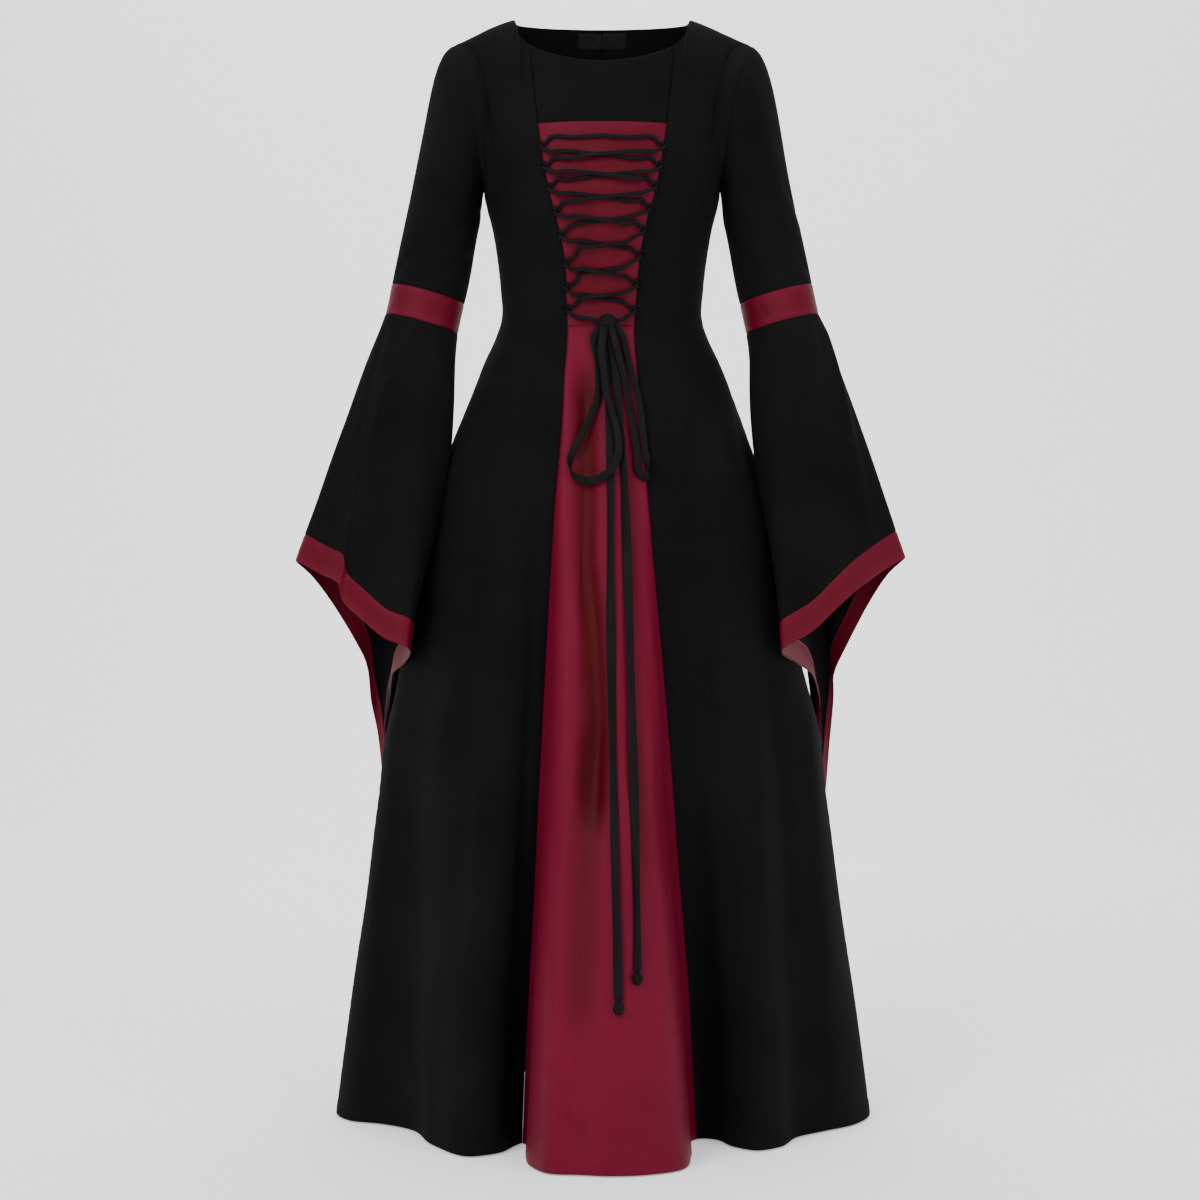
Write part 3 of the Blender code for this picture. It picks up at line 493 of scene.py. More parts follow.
SPLIT = float(split_share(1.0))
SPLIT_ACROSS = np.linspace(-1, 1, 9)
SPLIT_SHARES = split_share(SPLIT_ACROSS)


def body(part, side, across, level):
    """Outer face: a level below 0 is millimetres below the bust, one above 0 a share of the cloth above it."""
    across, level = np.broadcast_arrays(np.asarray(across, float), np.asarray(level, float))
    share = np.clip(level, 0, 1)
    if part == "centre":
        split = through(SPLIT_ACROSS, SPLIT_SHARES, across)
        share = np.where(share < SPLIT, share * split / SPLIT, 1 - (1 - share) * (1 - split) / (1 - SPLIT))
    below = lower(part, side, across, BUST_DROP + np.maximum(-level, 0))
    above = upper(part, side, across, share)
    return np.where(level[..., None] > 0, above, below)


def level_at(drop):
    """Level of a drop that lies below the bust."""
    return BUST_DROP - drop


def arm_ring(ring, share):
    """Oval ring of the arm, square to its tilted axis; share 0 is outward, a quarter is the front."""
    x, y, z, half_width, half_depth = ring
    turn = 2 * math.pi * np.asarray(share, float)
    out = half_width * np.cos(turn)
    return np.stack([
        x + out * math.cos(SLEEVE_TILT),
        y - half_depth * np.sin(turn),
        z + out * math.sin(SLEEVE_TILT),
    ], axis=-1)


def upper_sleeve(share, way):
    """Right upper sleeve: way 0 is the armhole, 0.5 the biceps ring and 1 the top of the elbow band."""
    share, way = np.broadcast_arrays(np.asarray(share, float), np.asarray(way, float))
    rows = round_through(SLEEVE_HEADING[:, 0], SLEEVE_HEADING[:, 1:], share)
    heading = unit(rows[..., :3])
    pull = rows[..., 3:4]
    axis = unit(np.array(ARM_AXIS))
    start = armhole(share) - 0.6 * heading
    middle = arm_ring(BICEPS, share)
    end = arm_ring(ELBOW_TOP, share)
    reach = np.linalg.norm(middle - start, axis=-1, keepdims=True)
    rest = np.linalg.norm(end - middle, axis=-1, keepdims=True)
    cap = bridge(start, heading * reach * pull, middle, axis * reach * 1.05, np.clip(2 * way, 0, 1))
    tube = bridge(middle, axis * rest, end, axis * rest, np.clip(2 * way - 1, 0, 1))
    return np.where(way[..., None] < 0.5, cap, tube)


def elbow_band(share, way):
    """Right elbow band between its two rings."""
    share, way = np.broadcast_arrays(np.asarray(share, float), np.asarray(way, float))
    return arm_ring(ELBOW_TOP, share) * (1 - way[..., None]) + arm_ring(ELBOW_BOTTOM, share) * way[..., None]


def bell(table, share, way):
    """Bell sleeve of the right side from the elbow band to its lower edge."""
    share, way = np.broadcast_arrays(np.asarray(share, float), np.asarray(way, float))
    rows = round_through(BELL_HEADING[:, 0], BELL_HEADING[:, 1:], share)
    start = arm_ring(ELBOW_BOTTOM, share)
    end = round_through(table[:, 0], table[:, 1:], share)
    reach = np.linalg.norm(end - start, axis=-1, keepdims=True)
    return bridge(start, unit(rows[..., :3]) * reach * rows[..., 3:4], end, end - start, way)


def cuff_start(table, share):
    """Way down the bell at which the cuff band begins."""
    start = arm_ring(ELBOW_BOTTOM, share)
    end = round_through(table[:, 0], table[:, 1:], share)
    return 1 - CUFF_HEIGHT / np.linalg.norm(end - start, axis=-1)


# One lacing loop: distance down the seam, distance in over the stomacher, height above the cloth
LOOP_PATH = (
    (-4.8, -3.6, 1.6),
    (-4.9, 1.2, 3.6),
    (-3.4, 5.9, 6.4),
    (0.0, 7.6, 6.9),
    (3.4, 5.8, 4.6),
    (4.8, 1.2, 2.0),
    (4.8, -3.6, 1.6),
)

# The lace through one loop: distance down, distance in, height above the cloth
LACE_TURN = (
    (-6.5, 14.0, 2.7),
    (-2.2, 7.6, 2.6),
    (-0.9, 3.2, 3.0),
    (0.9, 0.9, 4.4),
    (3.9, 2.4, 7.2),
    (6.8, 6.2, 7.4),
    (10.5, 12.0, 6.4),
)

# Cords that hang from the knot over the gore: x, drop, height above the cloth
BOW_LEFT = (
    (-10, 420, 7),
    (-6, 440, 4.6),
    (-4, 468, 4.4),
    (-6, 495, 4.4),
    (-17, 522, 4.4),
    (-30, 549, 4.4),
    (-38, 571, 4.4),
    (-35, 587, 4.2),
    (-22, 594, 4.6),
    (-6, 594, 7),
    (10, 585, 10.6),
    (18, 566, 10.6),
    (18, 542, 10.6),
    (12, 515, 10.6),
    (5, 490, 10.6),
    (2, 462, 10.6),
    (-1, 436, 12.0),
)
BOW_RIGHT = (
    (23, 414, 8),
    (29, 436, 5),
    (36, 465, 4),
    (43, 495, 4.2),
    (50, 525, 4.2),
    (55, 555, 4.2),
    (56, 578, 4.2),
    (50, 592, 4.2),
    (43, 585, 4.2),
    (41, 562, 4.2),
    (37, 530, 4.2),
    (32, 498, 3.8),
    (26, 466, 5.2),
    (19, 438, 9.5),
)
TAIL_LEFT = (
    (1, 416, 6),
    (4, 440, 4.2),
    (7, 480, 4.0),
    (9, 520, 4.0),
    (10, 580, 4.0),
    (10, 660, 4.0),
    (10, 760, 4.0),
    (11, 860, 4.0),
    (13, 960, 4.0),
    (15, 1060, 4.0),
    (17, 1140, 4.0),
    (18, 1204, 5.6),
)
TAIL_RIGHT = (
    (11, 416, 6),
    (14, 440, 4.2),
    (18, 480, 4.0),
    (21, 520, 4.0),
    (25, 580, 4.0),
    (28, 660, 4.0),
    (31, 760, 4.0),
    (34, 860, 4.0),
    (36, 960, 4.0),
    (38, 1060, 4.0),
    (39, 1120, 4.0),
    (39, 1171, 5.6),
)

# Soft ridges and hollows of the worn cloth: height, half width, fade at the ends, (drop, x) along the line
FOLDS = {
    "front_gore": (
        (5.0, 13, 70, ((430, -50), (600, -54), (785, -48), (930, -46))),
        (-12.0, 15, 70, ((500, -21), (690, -22), (770, -12), (880, -6), (960, -11))),
        (-5.5, 18, 70, ((930, -12), (1080, -20), (1200, -25))),
        (4.5, 12, 70, ((450, 48), (700, 58), (900, 66))),
        (-4.0, 9, 80, ((560, 40), (800, 44), (1010, 48))),
        (3.0, 16, 80, ((1000, 30), (1200, 26), (1390, 20))),
        (2.5, 14, 80, ((1060, -62), (1390, -60))),
        (-2.6, 7, 14, ((1272, -58), (1292, -54), (1306, -46))),
        (-2.4, 8, 12, ((1330, -44), (1345, -34), (1352, -24))),
        (-1.6, 7, 14, ((1300, 42), (1320, 50))),
    ),
    "stomacher": (
        (-0.7, 9, 60, ((210, -24), (300, -16), (380, -12))),
        (-0.6, 8, 60, ((240, 26), (330, 18))),
        (0.5, 12, 60, ((200, 2), (390, 0))),
    ),
    "centre_front_yoke": (
        (-0.5, 20, 20, ((75, -20), (140, -16))),
        (0.4, 24, 20, ((80, 22), (140, 26))),
    ),
    "front_left": (
        (4.0, 17, 90, ((440, -112), (700, -118), (1117, -120))),
        (-5.0, 15, 90, ((520, -150), (800, -158), (1100, -172))),
        (3.0, 18, 80, ((1080, -132), (1396, -134))),
        (-3.5, 8, 90, ((690, -80), (1000, -92), (1396, -112))),
        (3.0, 18, 90, ((560, -184), (800, -206), (1390, -236))),
        (-2.2, 5, 14, ((204, -150), (222, -144), (246, -128))),
        (-1.6, 5, 12, ((190, -146), (210, -136), (226, -120))),
        (-1.5, 7, 20, ((368, -118), (392, -96), (420, -72))),
        (-1.2, 6, 16, ((392, -124), (414, -104), (440, -88))),
        (1.4, 10, 30, ((60, -150), (140, -128), (200, -110))),
    ),
    "front_right": (
        (4.0, 15, 80, ((540, 146), (700, 152), (830, 156))),
        (-4.5, 13, 90, ((540, 116), (760, 118), (900, 126))),
        (-4.0, 10, 90, ((500, 176), (800, 208), (1100, 232))),
        (3.0, 16, 80, ((1120, 186), (1396, 190))),
        (2.5, 14, 80, ((900, 262), (1390, 290))),
        (-2.4, 5, 14, ((206, 152), (224, 146), (250, 128))),
        (-1.5, 5, 12, ((192, 148), (214, 138), (232, 122))),
        (-1.5, 7, 20, ((370, 118), (394, 98), (424, 74))),
        (-1.3, 6, 16, ((396, 124), (420, 106), (446, 90))),
        (1.4, 10, 30, ((60, 152), (140, 130), (200, 112))),
    ),
    "back_left": (
        (3.0, 16, 80, ((600, -30), (900, -60), (1396, -82))),
        (-4.0, 14, 80, ((640, -92), (1000, -128), (1396, -150))),
        (3.0, 16, 90, ((600, -150), (1396, -226))),
        (-2.0, 6, 16, ((190, -140), (214, -124), (240, -100))),
        (-1.6, 8, 18, ((360, -112), (390, -84), (420, -56))),
        (-1.4, 7, 18, ((396, -100), (424, -70), (448, -40))),
        (1.2, 16, 40, ((60, -120), (200, -96))),
    ),
    "back_right": (
        (3.0, 16, 80, ((600, 34), (900, 60), (1396, 84))),
        (-4.0, 14, 80, ((640, 96), (1000, 126), (1396, 154))),
        (3.0, 16, 90, ((600, 146), (1396, 228))),
        (-2.0, 6, 16, ((192, 142), (216, 122), (244, 100))),
        (-1.6, 8, 18, ((362, 110), (394, 82), (422, 58))),
        (-1.4, 7, 18, ((400, 98), (426, 72), (452, 44))),
        (1.2, 16, 40, ((60, 120), (200, 96))),
    ),
}

# The same on a sleeve: height, half width and fade as shares, (way down, share round) along the line
SLEEVE_FOLDS = {
    "upper_sleeve_left": (
        (-2.2, 0.035, 0.10, ((0.20, 0.44), (0.34, 0.36), (0.46, 0.26))),
        (-1.8, 0.030, 0.10, ((0.30, 0.50), (0.46, 0.42), (0.60, 0.32))),
        (-1.8, 0.035, 0.10, ((0.70, 0.46), (0.82, 0.36), (0.94, 0.22))),
        (-1.4, 0.030, 0.08, ((0.80, 0.16), (0.95, 0.08))),
        (1.4, 0.060, 0.20, ((0.30, 0.20), (0.80, 0.16))),
        (-1.6, 0.040, 0.10, ((0.66, 0.72), (0.84, 0.82), (0.95, 0.90))),
    ),
    "upper_sleeve_right": (
        (-2.2, 0.035, 0.10, ((0.18, 0.42), (0.32, 0.35), (0.44, 0.24))),
        (-1.6, 0.028, 0.08, ((0.44, 0.10), (0.50, 0.05), (0.55, 0.01))),
        (-1.8, 0.035, 0.10, ((0.68, 0.44), (0.80, 0.34), (0.92, 0.20))),
        (-1.4, 0.030, 0.08, ((0.78, 0.14), (0.94, 0.06))),
        (1.4, 0.060, 0.20, ((0.26, 0.18), (0.76, 0.15))),
        (-1.6, 0.040, 0.10, ((0.64, 0.70), (0.82, 0.80), (0.95, 0.88))),
    ),
    "elbow_band_left": (
        (-0.9, 0.020, 0.20, ((0.05, 0.14), (0.95, 0.17))),
        (-0.8, 0.024, 0.20, ((0.05, 0.32), (0.95, 0.29))),
        (0.7, 0.040, 0.20, ((0.05, 0.22), (0.95, 0.23))),
    ),
    "elbow_band_right": (
        (-0.9, 0.020, 0.20, ((0.05, 0.35), (0.95, 0.32))),
        (-0.7, 0.024, 0.20, ((0.05, 0.12), (0.95, 0.15))),
        (0.7, 0.040, 0.20, ((0.05, 0.25), (0.95, 0.23))),
    ),
    "bell_sleeve_left": (
        (3.6, 0.022, 0.10, ((0.00, 0.235), (0.33, 0.165), (0.95, 0.135))),
        (-2.4, 0.026, 0.14, ((0.10, 0.30), (0.50, 0.235), (1.00, 0.205))),
        (-2.4, 0.024, 0.14, ((0.12, 0.10), (0.60, 0.085), (1.00, 0.07))),
        (2.4, 0.026, 0.20, ((0.30, 0.28), (1.00, 0.27))),
        (2.5, 0.030, 0.20, ((0.20, 0.62), (1.00, 0.70))),
        (-2.5, 0.030, 0.20, ((0.20, 0.80), (1.00, 0.82))),
    ),
    "bell_sleeve_right": (
        (3.2, 0.020, 0.12, ((0.10, 0.035), (0.45, 0.065), (0.95, 0.075))),
        (-2.4, 0.024, 0.14, ((0.10, 0.11), (0.50, 0.125), (1.00, 0.12))),
        (2.4, 0.026, 0.20, ((0.10, 0.20), (1.00, 0.19))),
        (-2.2, 0.026, 0.16, ((0.16, 0.27), (1.00, 0.26))),
        (2.5, 0.030, 0.20, ((0.20, 0.64), (1.00, 0.70))),
        (-2.5, 0.030, 0.20, ((0.20, 0.80), (1.00, 0.82))),
    ),
    "cuff_band_left": (
        (0.8, 0.030, 0.30, ((0.0, 0.135), (1.0, 0.135))),
        (-0.7, 0.030, 0.30, ((0.0, 0.23), (1.0, 0.23))),
    ),
    "cuff_band_right": (
        (0.8, 0.030, 0.30, ((0.0, 0.075), (1.0, 0.075))),
        (-0.7, 0.030, 0.30, ((0.0, 0.20), (1.0, 0.20))),
    ),
}


def smooth(value):
    """Smooth step from 0 to 1: t * t * (3 - 2 * t)."""
    t = np.clip(value, 0, 1)
    return t * t * (3 - 2 * t)


def folds(rows, along, across, turn=0.0):
    """Sum of height * exp(-((across - line(along)) / half width) ** 2), each faded at its two ends."""
    total = np.zeros(np.broadcast(along, across).shape)
    for height, width, fade, line in rows:
        run, place = np.array(line, float).T
        off = across - np.interp(along, run, place)
        if turn:
            off = np.mod(off + 0.5 * turn, turn) - 0.5 * turn
        shown = smooth((along - run[0] + fade) / fade) * smooth((run[-1] + fade - along) / fade)
        total = total + height * shown * np.exp(-(off / width) ** 2)
    return total


def uneven(points):
    """Slow unevenness of worn cloth in millimetres: four long sine waves of the place, added."""
    x, y, z = np.moveaxis(points, -1, 0)
    return (0.42 * np.sin(x / 31 + z / 57 + 0.6) + 0.34 * np.sin(y / 27 - z / 43 + 2.1)
            + 0.26 * np.sin((x + y) / 17 + z / 29 + 4.0) + 0.18 * np.sin(x / 11 - y / 13 + z / 83 + 1.3))


def arc(points, axis):
    """Distance along the cloth from the first row or column of a grid."""
    step = np.linalg.norm(np.diff(points, axis=axis), axis=-1)
    first = np.zeros_like(np.take(step, [0], axis=axis))
    return np.concatenate([first, np.cumsum(step, axis=axis)], axis=axis)


def run_of(path):
    """Distance along a path from its first point."""
    return np.concatenate([[0], np.cumsum(np.linalg.norm(np.diff(path, axis=0), axis=1))])


def cells(number):
    """The four corners of each cell of a grid of numbers, in order round the cell."""
    corners = [number[:-1, :-1], number[:-1, 1:], number[1:, 1:], number[1:, :-1]]
    return np.stack(corners, axis=-1).reshape(-1, 4)


def inside_out(corner):
    """Whether closed cells face inward: the sum of a . (b x c) + a . (c x d) over them is negative."""
    volume = np.sum(corner[:, 0] * np.cross(corner[:, 1], corner[:, 2]))
    volume += np.sum(corner[:, 0] * np.cross(corner[:, 2], corner[:, 3]))
    return volume < 0


def facing(points, away, closed):
    """Unit normals of a grid from its differences both ways, turned to the side that away points to."""
    if closed:
        longer = np.concatenate([points[:, -1:], points, points[:, :1]], axis=1)
        across = np.gradient(longer, axis=1)[:, 1:-1]
    else:
        across = np.gradient(points, axis=1)
    normal = unit(np.cross(across, np.gradient(points, axis=0)) + 1e-9)
    return normal * (1.0 if np.sum(normal * away) > 0 else -1.0)


# Seams in millimetres: how far the folds die away, how far the pucker reaches, its height and its wave,
# how deep and how wide an edge is sunk, and how far a turned-up hem stands out
FOLD_FADE = 8.0
PUCKER_FADE = 9.0
PUCKER_START = 1.6
PUCKER_HEIGHT = 0.3
PUCKER_WAVE = 2.9
PUCKER_DRIFT = 23.0
EDGE_SUNK = 0.9
EDGE_WIDTH = 3.2
CORNER_FADE = 5.0
HEM_RISE = 0.4
HEM_STEP = 1.6
# Satin: depth of fold at which the painted fold shade is full, and the share of that dark tone laid flat on the
# small pieces as a darker tone
FOLD_SHADE_DEPTH = 9.0
SMALL_PIECE_SHADE = 0.55

# Width, length and area in metres of each sewn piece, laid flat
PIECES = {}


def sew(name, grid, relief, away, closed, outside, inside, hem=None, wall=WALL, flat_start=False,
        flat_end=False):
    """One cut piece: the grid moved out by its relief, sunk and puckered at its edges, and given a wall.

    Height = (relief + unevenness) * (1 - exp(-seam / 8)) + 0.3 * wave * exp(-seam / 9) * (1 - exp(-seam / 1.6))
    - 0.9 * (1 - seam / 3.2)^2 within 3.2 mm of an edge, where seam is the distance to the nearest edge.
    A turned-up hem adds 0.4 below its stitching line, hem mm above the edge. An edge that meets its
    neighbour at a corner of the shape is flat: it isn't sunk. Satin is darkened by painted shade in its fold
    hollows, and given a flat darker tone on the small pieces.
    """
    u_run = arc(grid if not closed else np.concatenate([grid, grid[:, :1]], axis=1), 1)
    v_run = arc(grid, 0)
    rows_to_edge = np.minimum(v_run, v_run[-1:] - v_run)
    along = u_run[:, :grid.shape[1]]
    seam = rows_to_edge if closed else np.minimum(rows_to_edge, np.minimum(along, along[:, -1:] - along))
    walk = along + v_run
    wave = np.sin(walk / PUCKER_WAVE + 1.4 * np.sin(walk / PUCKER_DRIFT))
    wave = wave * np.exp(-seam / PUCKER_FADE) * (1 - np.exp(-seam / PUCKER_START))
    far = 99.0
    near_flat = np.minimum(v_run + far * (not flat_start), v_run[-1:] - v_run + far * (not flat_end))
    sunk = EDGE_SUNK * (1 - np.clip(seam / EDGE_WIDTH, 0, 1)) ** 2 * smooth(near_flat / CORNER_FADE)
    inland = 1 - np.exp(-seam / FOLD_FADE)
    height = (relief + uneven(grid)) * inland + PUCKER_HEIGHT * wave - sunk
    if hem:
        height = height + HEM_RISE * smooth((hem - v_run) / HEM_STEP)
    outer = grid + facing(grid, away, closed) * height[..., None]
    inner = outer - wall * facing(outer, away, closed)
    if closed:
        v_wide = np.concatenate([v_run, v_run[:, :1]], axis=1)
    else:
        v_wide = v_run
    # Painted shade: satin is darkened in its fold hollows, more the deeper the fold; the small satin pieces
    # also get a flat darker tone
    hollow = 0 * seam
    if outside is SATIN:
        shade = 0.0 if name == "front_gore_cloth" else SMALL_PIECE_SHADE
        hollow = np.clip(shade - relief / FOLD_SHADE_DEPTH, 0, 1) * inland
    put(name, outer, inner, np.stack([u_run, v_wide], axis=-1) * MM, seam, hollow, closed, outside, inside)
    corner = outer if not closed else np.concatenate([outer, outer[:, :1]], axis=1)
    first = np.cross(corner[:-1, 1:] - corner[:-1, :-1], corner[1:, :-1] - corner[:-1, :-1])
    second = np.cross(corner[1:, :-1] - corner[1:, 1:], corner[:-1, 1:] - corner[1:, 1:])
    doubled = np.linalg.norm(first, axis=-1).sum() + np.linalg.norm(second, axis=-1).sum()
    area = 0.5 * float(doubled) * MM ** 2
    wide = float(arc(corner, 1)[:, -1].max()) * MM
    long = float(arc(corner, 0)[-1].max()) * MM
    PIECES[name] = (wide, long, area)
    return outer


def put(name, outer, inner, uv, seam, hollow, closed, outside, inside):
    """Mesh of a grid and its inner copy with the rims between them.

    It has its UV map in metres, and at each point the distance to the seam and the hollow mark: how far
    painted shade darkens the satin in its fold hollows, with the flat darker tone of the small satin pieces.
    """
    rows, columns = outer.shape[:2]
    number = np.arange(rows * columns).reshape(rows, columns)
    wide = np.concatenate([number, number[:, :1]], axis=1) if closed else number
    place = np.arange(wide.size).reshape(wide.shape)
    quad = cells(place)
    vertex, shift = wide.ravel(), rows * columns
    edges = [place[0, ::-1], place[-1]]
    if not closed:
        edges += [place[::-1, -1], place[:, 0]]
    faces = [vertex[quad], vertex[quad[:, ::-1]] + shift]
    spots = [quad, quad[:, ::-1]]
    for edge in edges:
        p, q = edge[:-1], edge[1:]
        faces.append(np.stack([vertex[p], vertex[q], vertex[q] + shift, vertex[p] + shift], axis=-1))
        spots.append(np.stack([p, q, q, p], axis=-1))
    skin = len(quad)
    faces, spots = np.concatenate(faces), np.concatenate(spots)
    use = np.zeros(len(faces), np.int32)
    use[skin:2 * skin] = 1
    points = np.concatenate([outer.reshape(-1, 3), inner.reshape(-1, 3)]) * MM
    if inside_out(points[faces]):
        faces, spots = faces[:, ::-1], spots[:, ::-1]
    mesh = bpy.data.meshes.new(name)
    mesh.vertices.add(len(points))
    mesh.vertices.foreach_set("co", points.ravel())
    mesh.loops.add(faces.size)
    mesh.loops.foreach_set("vertex_index", faces.ravel().astype(np.int32))
    mesh.polygons.add(len(faces))
    mesh.polygons.foreach_set("loop_start", np.arange(0, faces.size, 4, dtype=np.int32))
    mesh.update(calc_edges=True)
    mesh.polygons.foreach_set("material_index", use)
    mesh.uv_layers.new(name="cloth").data.foreach_set("uv", uv.reshape(-1, 2)[spots.ravel()].ravel())
    # The hollow mark carries the painted fold shade of the satin and the flat darker tone of its small pieces
    for label, values in (("seam", seam), ("hollow", hollow)):
        mark = mesh.attributes.new(label, "FLOAT", "POINT")
        mark.data.foreach_set("value", np.tile(values.ravel(), 2).astype(np.float32))
    for finish in (outside, inside):
        mesh.materials.append(finish)
    finish_mesh(name, mesh)


def finish_mesh(name, mesh, angle=50.0):
    """Smooth shading with the sharp edges kept, and the object put in the scene."""
    mesh.validate()
    mesh.polygons.foreach_set("use_smooth", np.ones(len(mesh.polygons), bool))
    mesh.set_sharp_from_angle(angle=math.radians(angle))
    thing = bpy.data.objects.new(name, mesh)
    bpy.context.scene.collection.objects.link(thing)
    return thing


class Wiring:
    """Small helper that adds nodes to one tree and joins them."""

    def __init__(self, tree):
        self.tree = tree

    def add(self, kind, operation=None, **settings):
        node = self.tree.nodes.new(kind)
        if operation:
            node.operation = operation
        for key, value in settings.items():
            setattr(node, key, value)
        node.location = (180 * (len(self.tree.nodes) % 9), -220 * (len(self.tree.nodes) // 9))
        return node

    def join(self, output, socket):
        self.tree.links.new(output, socket)

    def maths(self, operation, first, second=None, third=None, clamp=False):
        node = self.add("ShaderNodeMath", operation, use_clamp=clamp)
        for index, value in enumerate((first, second, third)):
            if value is None:
                continue
            if isinstance(value, (int, float)):
                node.inputs[index].default_value = value
            else:
                self.join(value, node.inputs[index])
        return node.outputs[0]


def effect(name, inputs, outputs):
    """Empty node group with named sockets, its wiring, its input node and its output node."""
    tree = bpy.data.node_groups.new(name, "ShaderNodeTree")
    for label, kind, value in inputs:
        socket = tree.interface.new_socket(label, in_out="INPUT", socket_type=kind)
        if value is not None:
            socket.default_value = value
    for label, kind in outputs:
        tree.interface.new_socket(label, in_out="OUTPUT", socket_type=kind)
    wiring = Wiring(tree)
    return tree, wiring, wiring.add("NodeGroupInput"), wiring.add("NodeGroupOutput")


def weave_effect():
    """Plain weave: warp |sin(pi u)| and weft |sin(pi v)| take turns on a chequer of threads."""
    tree, wiring, given, result = effect(
        "woven threads",
        [("Vector", "NodeSocketVector", None), ("Threads per metre", "NodeSocketFloat", 900.0),
         ("Warp share", "NodeSocketFloat", 0.5)],
        [("Height", "NodeSocketFloat"), ("Thread", "NodeSocketFloat")])
    grown = wiring.add("ShaderNodeVectorMath", "SCALE")
    wiring.join(given.outputs["Vector"], grown.inputs[0])
    wiring.join(given.outputs["Threads per metre"], grown.inputs["Scale"])
    apart = wiring.add("ShaderNodeSeparateXYZ")
    wiring.join(grown.outputs[0], apart.inputs[0])
    u, v = apart.outputs["X"], apart.outputs["Y"]
    warp = wiring.maths("ABSOLUTE", wiring.maths("SINE", wiring.maths("MULTIPLY", u, math.pi)))
    weft = wiring.maths("ABSOLUTE", wiring.maths("SINE", wiring.maths("MULTIPLY", v, math.pi)))
    steps = wiring.maths("ADD", wiring.maths("FLOOR", u), wiring.maths("FLOOR", v))
    turn = wiring.maths("MULTIPLY", wiring.maths("FRACT", wiring.maths("MULTIPLY", steps, 0.5)), 2.0)
    warp_high = wiring.maths("MULTIPLY", warp, wiring.maths("ADD", turn, given.outputs["Warp share"]))
    weft_high = wiring.maths("MULTIPLY", weft, wiring.maths("SUBTRACT", 1.0, turn))
    wiring.join(wiring.maths("MAXIMUM", warp_high, weft_high, clamp=True), result.inputs["Height"])
    wiring.join(turn, result.inputs["Thread"])
    return tree


def tone_effect():
    """Slow and fine mottling of a cloth's tone, from two noises of the place."""
    tree, wiring, given, result = effect(
        "cloth tone",
        [("Vector", "NodeSocketVector", None), ("Slow scale", "NodeSocketFloat", 9.0),
         ("Fine scale", "NodeSocketFloat", 260.0), ("Fine share", "NodeSocketFloat", 0.35)],
        [("Tone", "NodeSocketFloat"), ("Fine", "NodeSocketFloat")])
    slow = wiring.add("ShaderNodeTexNoise")
    slow.inputs["Detail"].default_value = 3.0
    fine = wiring.add("ShaderNodeTexNoise")
    fine.inputs["Detail"].default_value = 2.0
    for noise, label in ((slow, "Slow scale"), (fine, "Fine scale")):
        wiring.join(given.outputs["Vector"], noise.inputs["Vector"])
        wiring.join(given.outputs[label], noise.inputs["Scale"])
    rest = wiring.maths("SUBTRACT", 1.0, given.outputs["Fine share"])
    mixed = wiring.maths("ADD", wiring.maths("MULTIPLY", slow.outputs["Fac"], rest),
                         wiring.maths("MULTIPLY", fine.outputs["Fac"], given.outputs["Fine share"]))
    level = wiring.maths("MULTIPLY_ADD", mixed, 2.6, -0.8, clamp=True)
    wiring.join(level, result.inputs["Tone"])
    wiring.join(fine.outputs["Fac"], result.inputs["Fine"])
    return tree


def stitch_effect():
    """Row of stitches: a narrow band at a set distance from the seam, broken by a wave along the cloth."""
    tree, wiring, given, result = effect(
        "stitch row",
        [("Seam", "NodeSocketFloat", 0.0), ("Vector", "NodeSocketVector", None),
         ("From seam", "NodeSocketFloat", 2.4), ("Length", "NodeSocketFloat", 0.0032)],
        [("Stitch", "NodeSocketFloat"), ("Dent", "NodeSocketFloat")])
    beyond = wiring.maths("SUBTRACT", given.outputs["Seam"], given.outputs["From seam"])
    off = wiring.maths("ABSOLUTE", beyond)
    band = wiring.maths("SUBTRACT", 1.0, wiring.maths("DIVIDE", off, 0.45), clamp=True)
    trough = wiring.maths("SUBTRACT", 1.0, wiring.maths("DIVIDE", off, 1.3), clamp=True)
    apart = wiring.add("ShaderNodeSeparateXYZ")
    wiring.join(given.outputs["Vector"], apart.inputs[0])
    run = wiring.maths("ADD", apart.outputs["X"], apart.outputs["Y"])
    wave = wiring.maths("SINE", wiring.maths("DIVIDE", wiring.maths("MULTIPLY", run, 2 * math.pi),
                                             given.outputs["Length"]))
    dash = wiring.maths("MULTIPLY_ADD", wave, 1.6, 0.7, clamp=True)
    wiring.join(wiring.maths("MULTIPLY", band, dash), result.inputs["Stitch"])
    wiring.join(trough, result.inputs["Dent"])
    return tree


WEAVE, TONE, STITCH = weave_effect(), tone_effect(), stitch_effect()


def placed(wiring, tree, **values):
    """One of the shared groups put in a material with its own values."""
    node = wiring.add("ShaderNodeGroup")
    node.node_tree = tree
    for label, value in values.items():
        node.inputs[label.replace("_", " ")].default_value = value
    return node


def bare_finish(name):
    """New material with its shader joined to its output, its wiring, its shader and its coordinates."""
    finish = bpy.data.materials.new(name)
    finish.use_nodes = True
    finish.node_tree.nodes.clear()
    wiring = Wiring(finish.node_tree)
    shader = wiring.add("ShaderNodeBsdfPrincipled")
    wiring.join(shader.outputs[0], wiring.add("ShaderNodeOutputMaterial").inputs["Surface"])
    return finish, wiring, shader, wiring.add("ShaderNodeTexCoord")


def two_tones(wiring, dark, light, share):
    """Colour between a dark and a light tone by the share from a socket."""
    shade = wiring.add("ShaderNodeMix", data_type="RGBA")
    shade.inputs[6].default_value = (*dark, 1.0)
    shade.inputs[7].default_value = (*light, 1.0)
    wiring.join(share, shade.inputs[0])
    return shade.outputs[2]


